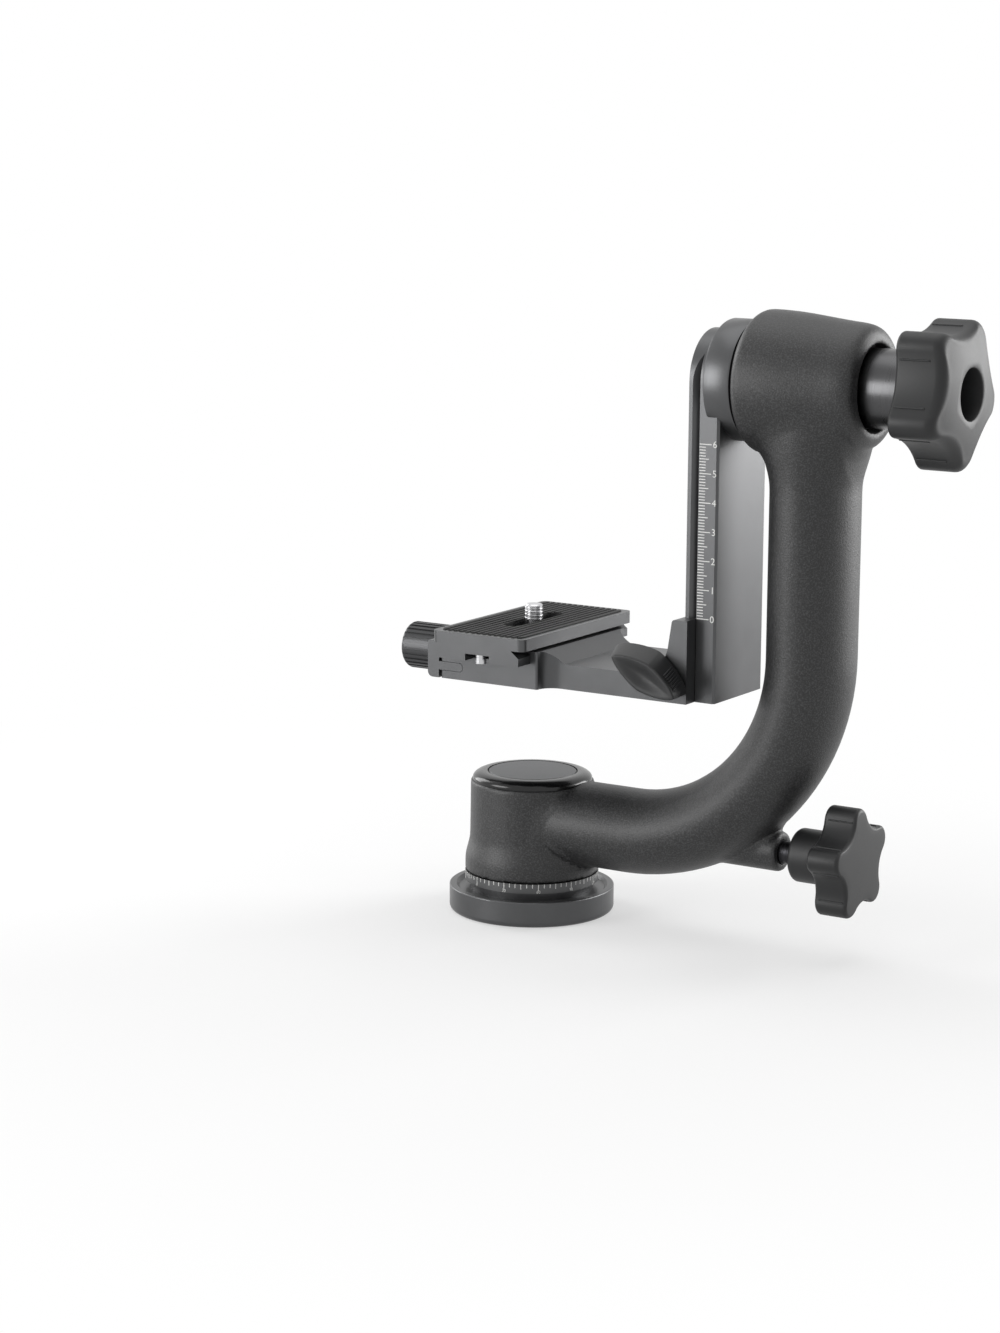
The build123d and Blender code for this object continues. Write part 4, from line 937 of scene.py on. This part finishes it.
def leaf_row(angle):
    back = leaf_radius(LEAF_ROUND, angle)
    front = leaf_radius(LEAF_DEPTH - LEAF_ROUND, angle)
    section = [(0.0, 0.0)]
    section += corner(LEAF_ROUND, back - LEAF_ROUND, LEAF_ROUND, -math.pi / 2)
    section += corner(LEAF_DEPTH - LEAF_ROUND, front - LEAF_ROUND, LEAF_ROUND, 0.0)
    inner = front - LEAF_ROUND
    for step in range(1, LEAF_FACE_RINGS + 1):
        share = 1 - step / LEAF_FACE_RINGS
        section.append((LEAF_DEPTH - LEAF_HOLLOW * (1 - share ** 2) ** 2, inner * share))
    return [leaf_point(depth, radius, angle) for depth, radius in section]


def rib_angle(depth, along):
    """The first direction, from the lower tip, in which the outline stays short of `along`."""
    angles = (step * 0.001 for step in range(1, 1500))
    return next(a for a in angles if leaf_radius(depth, a) * math.cos(a) < along)


leaf_rows = [leaf_row(2 * math.pi * step / LEAF_DIRECTIONS) for step in range(LEAF_DIRECTIONS)]
leaf = new_piece(
    "height_lock_leaf", closed_surface("height_lock_leaf", leaf_rows),
    "height_lock", knob_black,
)
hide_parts("height_lock_knob")

rib = rib_rows.build(
    "leaf_rib", Count=1, Radius=0.0,
    Length=LEAF_RIB_LENGTH * mm, Thickness=LEAF_RIB_THICKNESS * mm,
)
serrations = []
for index in range(LEAF_RIB_COUNT):
    along = LEAF_FIRST_RIB + index * LEAF_RIB_PITCH
    ends = []
    for share in LEAF_RIB_ENDS:
        depth = LEAF_DEPTH * share
        angle = rib_angle(depth, along)
        ends.append(leaf_point(depth, leaf_radius(depth, angle), angle))
    axis = (ends[1] - ends[0]).normalized()
    side = axis.cross(down_leaf).normalized()
    place = matrix_from(axis, side, axis.cross(side), (ends[0] + ends[1]) / 2 * mm)
    serrations.append(moved(rib.copy(), place))
new_piece(
    "height_lock_serrations", joined("height_lock_serrations", serrations),
    "height_lock", knob_black,
)
print("leaf faces:", len(leaf.data.polygons), "serrations:", LEAF_RIB_COUNT)

# %% [markdown]
# ## Turned rings about the tilt axis
# The tilt knob's neck is a polished sleeve, and a bright snap ring sits in the pocket around
# it. On the other side of the barrel, a broad disc stands round the rail's hub. Each is a
# closed outline of distances along the axis and radii, turned about it.

# %% Neck, snap ring and hub disc
RING_DIRECTIONS = 128
TURNED_RINGS = (
    # name, body, finish, slot, then X and radius of each corner in mm
    ("tilt_knob_neck", "tilt_lock", neck_black, "knob_black",
     ((127.3, 13.31), (127.3, 13.34), (127.7, 13.44), (149.2, 13.44), (149.2, 13.31))),
    ("pocket_snap_ring", "arm", chrome, "chrome",
     ((127.5, 14.95), (127.5, 14.45), (127.8, 14.10),
      (128.2, 14.10), (128.5, 14.45), (128.5, 14.95))),
    ("tilt_hub_disc", "cradle", black_anodised, "black_anodised",
     ((78.8, 17.0), (78.8, 20.1), (79.0, 20.6), (79.5, 20.8),
      (88.2, 20.8), (88.7, 20.6), (88.9, 20.1), (88.9, 17.0))),
)


def turned_ring(name, outline):
    """A ring about the tilt axis, whose outline is closed by its first point."""
    angles = (2 * math.pi * step / RING_DIRECTIONS for step in range(RING_DIRECTIONS))
    closed = (*outline, outline[0])
    return closed_surface(name, [turned_row(closed, TILT_AXIS, angle) for angle in angles])


for name, body, finish, slot, outline in TURNED_RINGS:
    new_piece(name, turned_ring(name, outline), body, finish)
print("turned rings:", [entry[0] for entry in TURNED_RINGS])

# %% [markdown]
# ## Floor, light and camera
# A plain pale floor, and four soft lamps. The camera is a long lens that stands higher than the
# head and looks down by some eleven degrees.

# %% Floor
CLEAR_RADIUS = 0.14
WHITE_RADIUS = 0.40
NEAR_WHITE = 0.45


def plain_white():
    """Pale under the head, where it keeps the shadow, and plain white farther out."""
    pale = Finish("floor_white", Roughness=0.9)
    pale.shader.inputs["Base Color"].default_value = (0.92, 0.92, 0.92, 1)
    distance = pale.node("ShaderNodeVectorMath", {"operation": "LENGTH"}, {0: pale.place}, "Value")
    far = pale.node("ShaderNodeMapRange", {"interpolation_type": "SMOOTHSTEP"}, {
        "Value": distance,
        "From Min": CLEAR_RADIUS,
        "From Max": WHITE_RADIUS,
    })
    glow = pale.node("ShaderNodeEmission", {}, {"Color": (1, 1, 1, 1), "Strength": 1.0})
    mixed = pale.node("ShaderNodeMixShader", {}, {
        0: (far * (1 - NEAR_WHITE) + NEAR_WHITE) * pale.seen_rays(),
        1: Value(pale, pale.shader.outputs[0]),
        2: glow,
    })
    output = next(n for n in pale.tree.nodes if n.type == "OUTPUT_MATERIAL")
    pale.tree.links.new(mixed.socket, output.inputs["Surface"])
    return pale.material


bpy.ops.mesh.primitive_plane_add(size=8, location=(0, 0, 0))
floor = bpy.context.object
floor.name = "floor"
cover(plain_white(), floor)
print("floor at z", floor.location.z)

# %% [markdown]
# The lamps stand where the flat black faces mirror them: one behind on the right for the faces
# toward +X, one in front on the left for those toward -Y, and a tall one on the left for those
# toward -X. Overhead there is only enough light to ground the head with a soft shadow.

# %% Lights
FILL = 0.32
HEAD_CENTRE = Vector((0.05, 0.0, 0.12))
world = bpy.data.worlds.new("studio")
scene.world = world
world.use_nodes = True
sky = Nodes(world.node_tree)
background = next(n for n in sky.tree.nodes if n.type == "BACKGROUND")
background.inputs["Color"].default_value = (1, 1, 1, 1)
strength = sky.seen_rays() * (1 - FILL) + FILL
sky.tree.links.new(strength.socket, background.inputs["Strength"])


def soft_light(name, power, size, place):
    """A rectangular lamp that faces the head and that the camera doesn't see."""
    lamp = bpy.data.lights.new(name, "AREA")
    lamp.energy = power
    lamp.shape = "RECTANGLE"
    lamp.size, lamp.size_y = size
    holder = bpy.data.objects.new(name, lamp)
    scene.collection.objects.link(holder)
    holder.visible_camera = False
    holder.location = place
    holder.rotation_euler = (HEAD_CENTRE - Vector(place)).to_track_quat("-Z", "Y").to_euler()


soft_light("overhead", 4.0, (1.0, 1.0), (0.0, 0.1, 1.15))
soft_light("left_front", 7.5, (0.6, 0.6), (-0.62, -0.90, 0.32))
soft_light("right_back", 10.0, (0.7, 0.6), (0.72, 0.90, 0.32))
soft_light("left_side", 6.0, (0.5, 0.9), (-1.05, 0.15, 0.46))

# %% Camera
IMAGE_WIDTH, IMAGE_HEIGHT = 1000, 1333
FOCAL_PIXELS = 3172.2
PRINCIPAL = (500.59, 663.75)
YAW, PITCH, ROLL = math.radians(32.575), math.radians(10.72), math.radians(0.35)
TARGET = Vector((-14.09, 0.0, 89.13)) * mm
DISTANCE = 1152.67 * mm

lens = bpy.data.cameras.new("camera")
lens.sensor_width = 36.0
lens.lens = FOCAL_PIXELS / IMAGE_HEIGHT * lens.sensor_width
lens.shift_x = (IMAGE_WIDTH / 2 - PRINCIPAL[0]) / IMAGE_HEIGHT
lens.shift_y = (PRINCIPAL[1] - IMAGE_HEIGHT / 2) / IMAGE_HEIGHT
camera = bpy.data.objects.new("camera", lens)
scene.collection.objects.link(camera)
ahead = Vector((
    -math.sin(YAW) * math.cos(PITCH), math.cos(YAW) * math.cos(PITCH), -math.sin(PITCH),
))
level = Vector((math.cos(YAW), math.sin(YAW), 0.0))
up = level.cross(ahead)
right = level * math.cos(ROLL) + up * math.sin(ROLL)
true_up = up * math.cos(ROLL) - level * math.sin(ROLL)
axes = Matrix((right, true_up, -ahead)).transposed()
camera.matrix_world = Matrix.Translation(TARGET - ahead * DISTANCE) @ axes.to_4x4()
scene.camera = camera
scene.view_settings.view_transform = "Standard"
print("camera at (mm)", [round(v * 1000) for v in camera.matrix_world.translation])
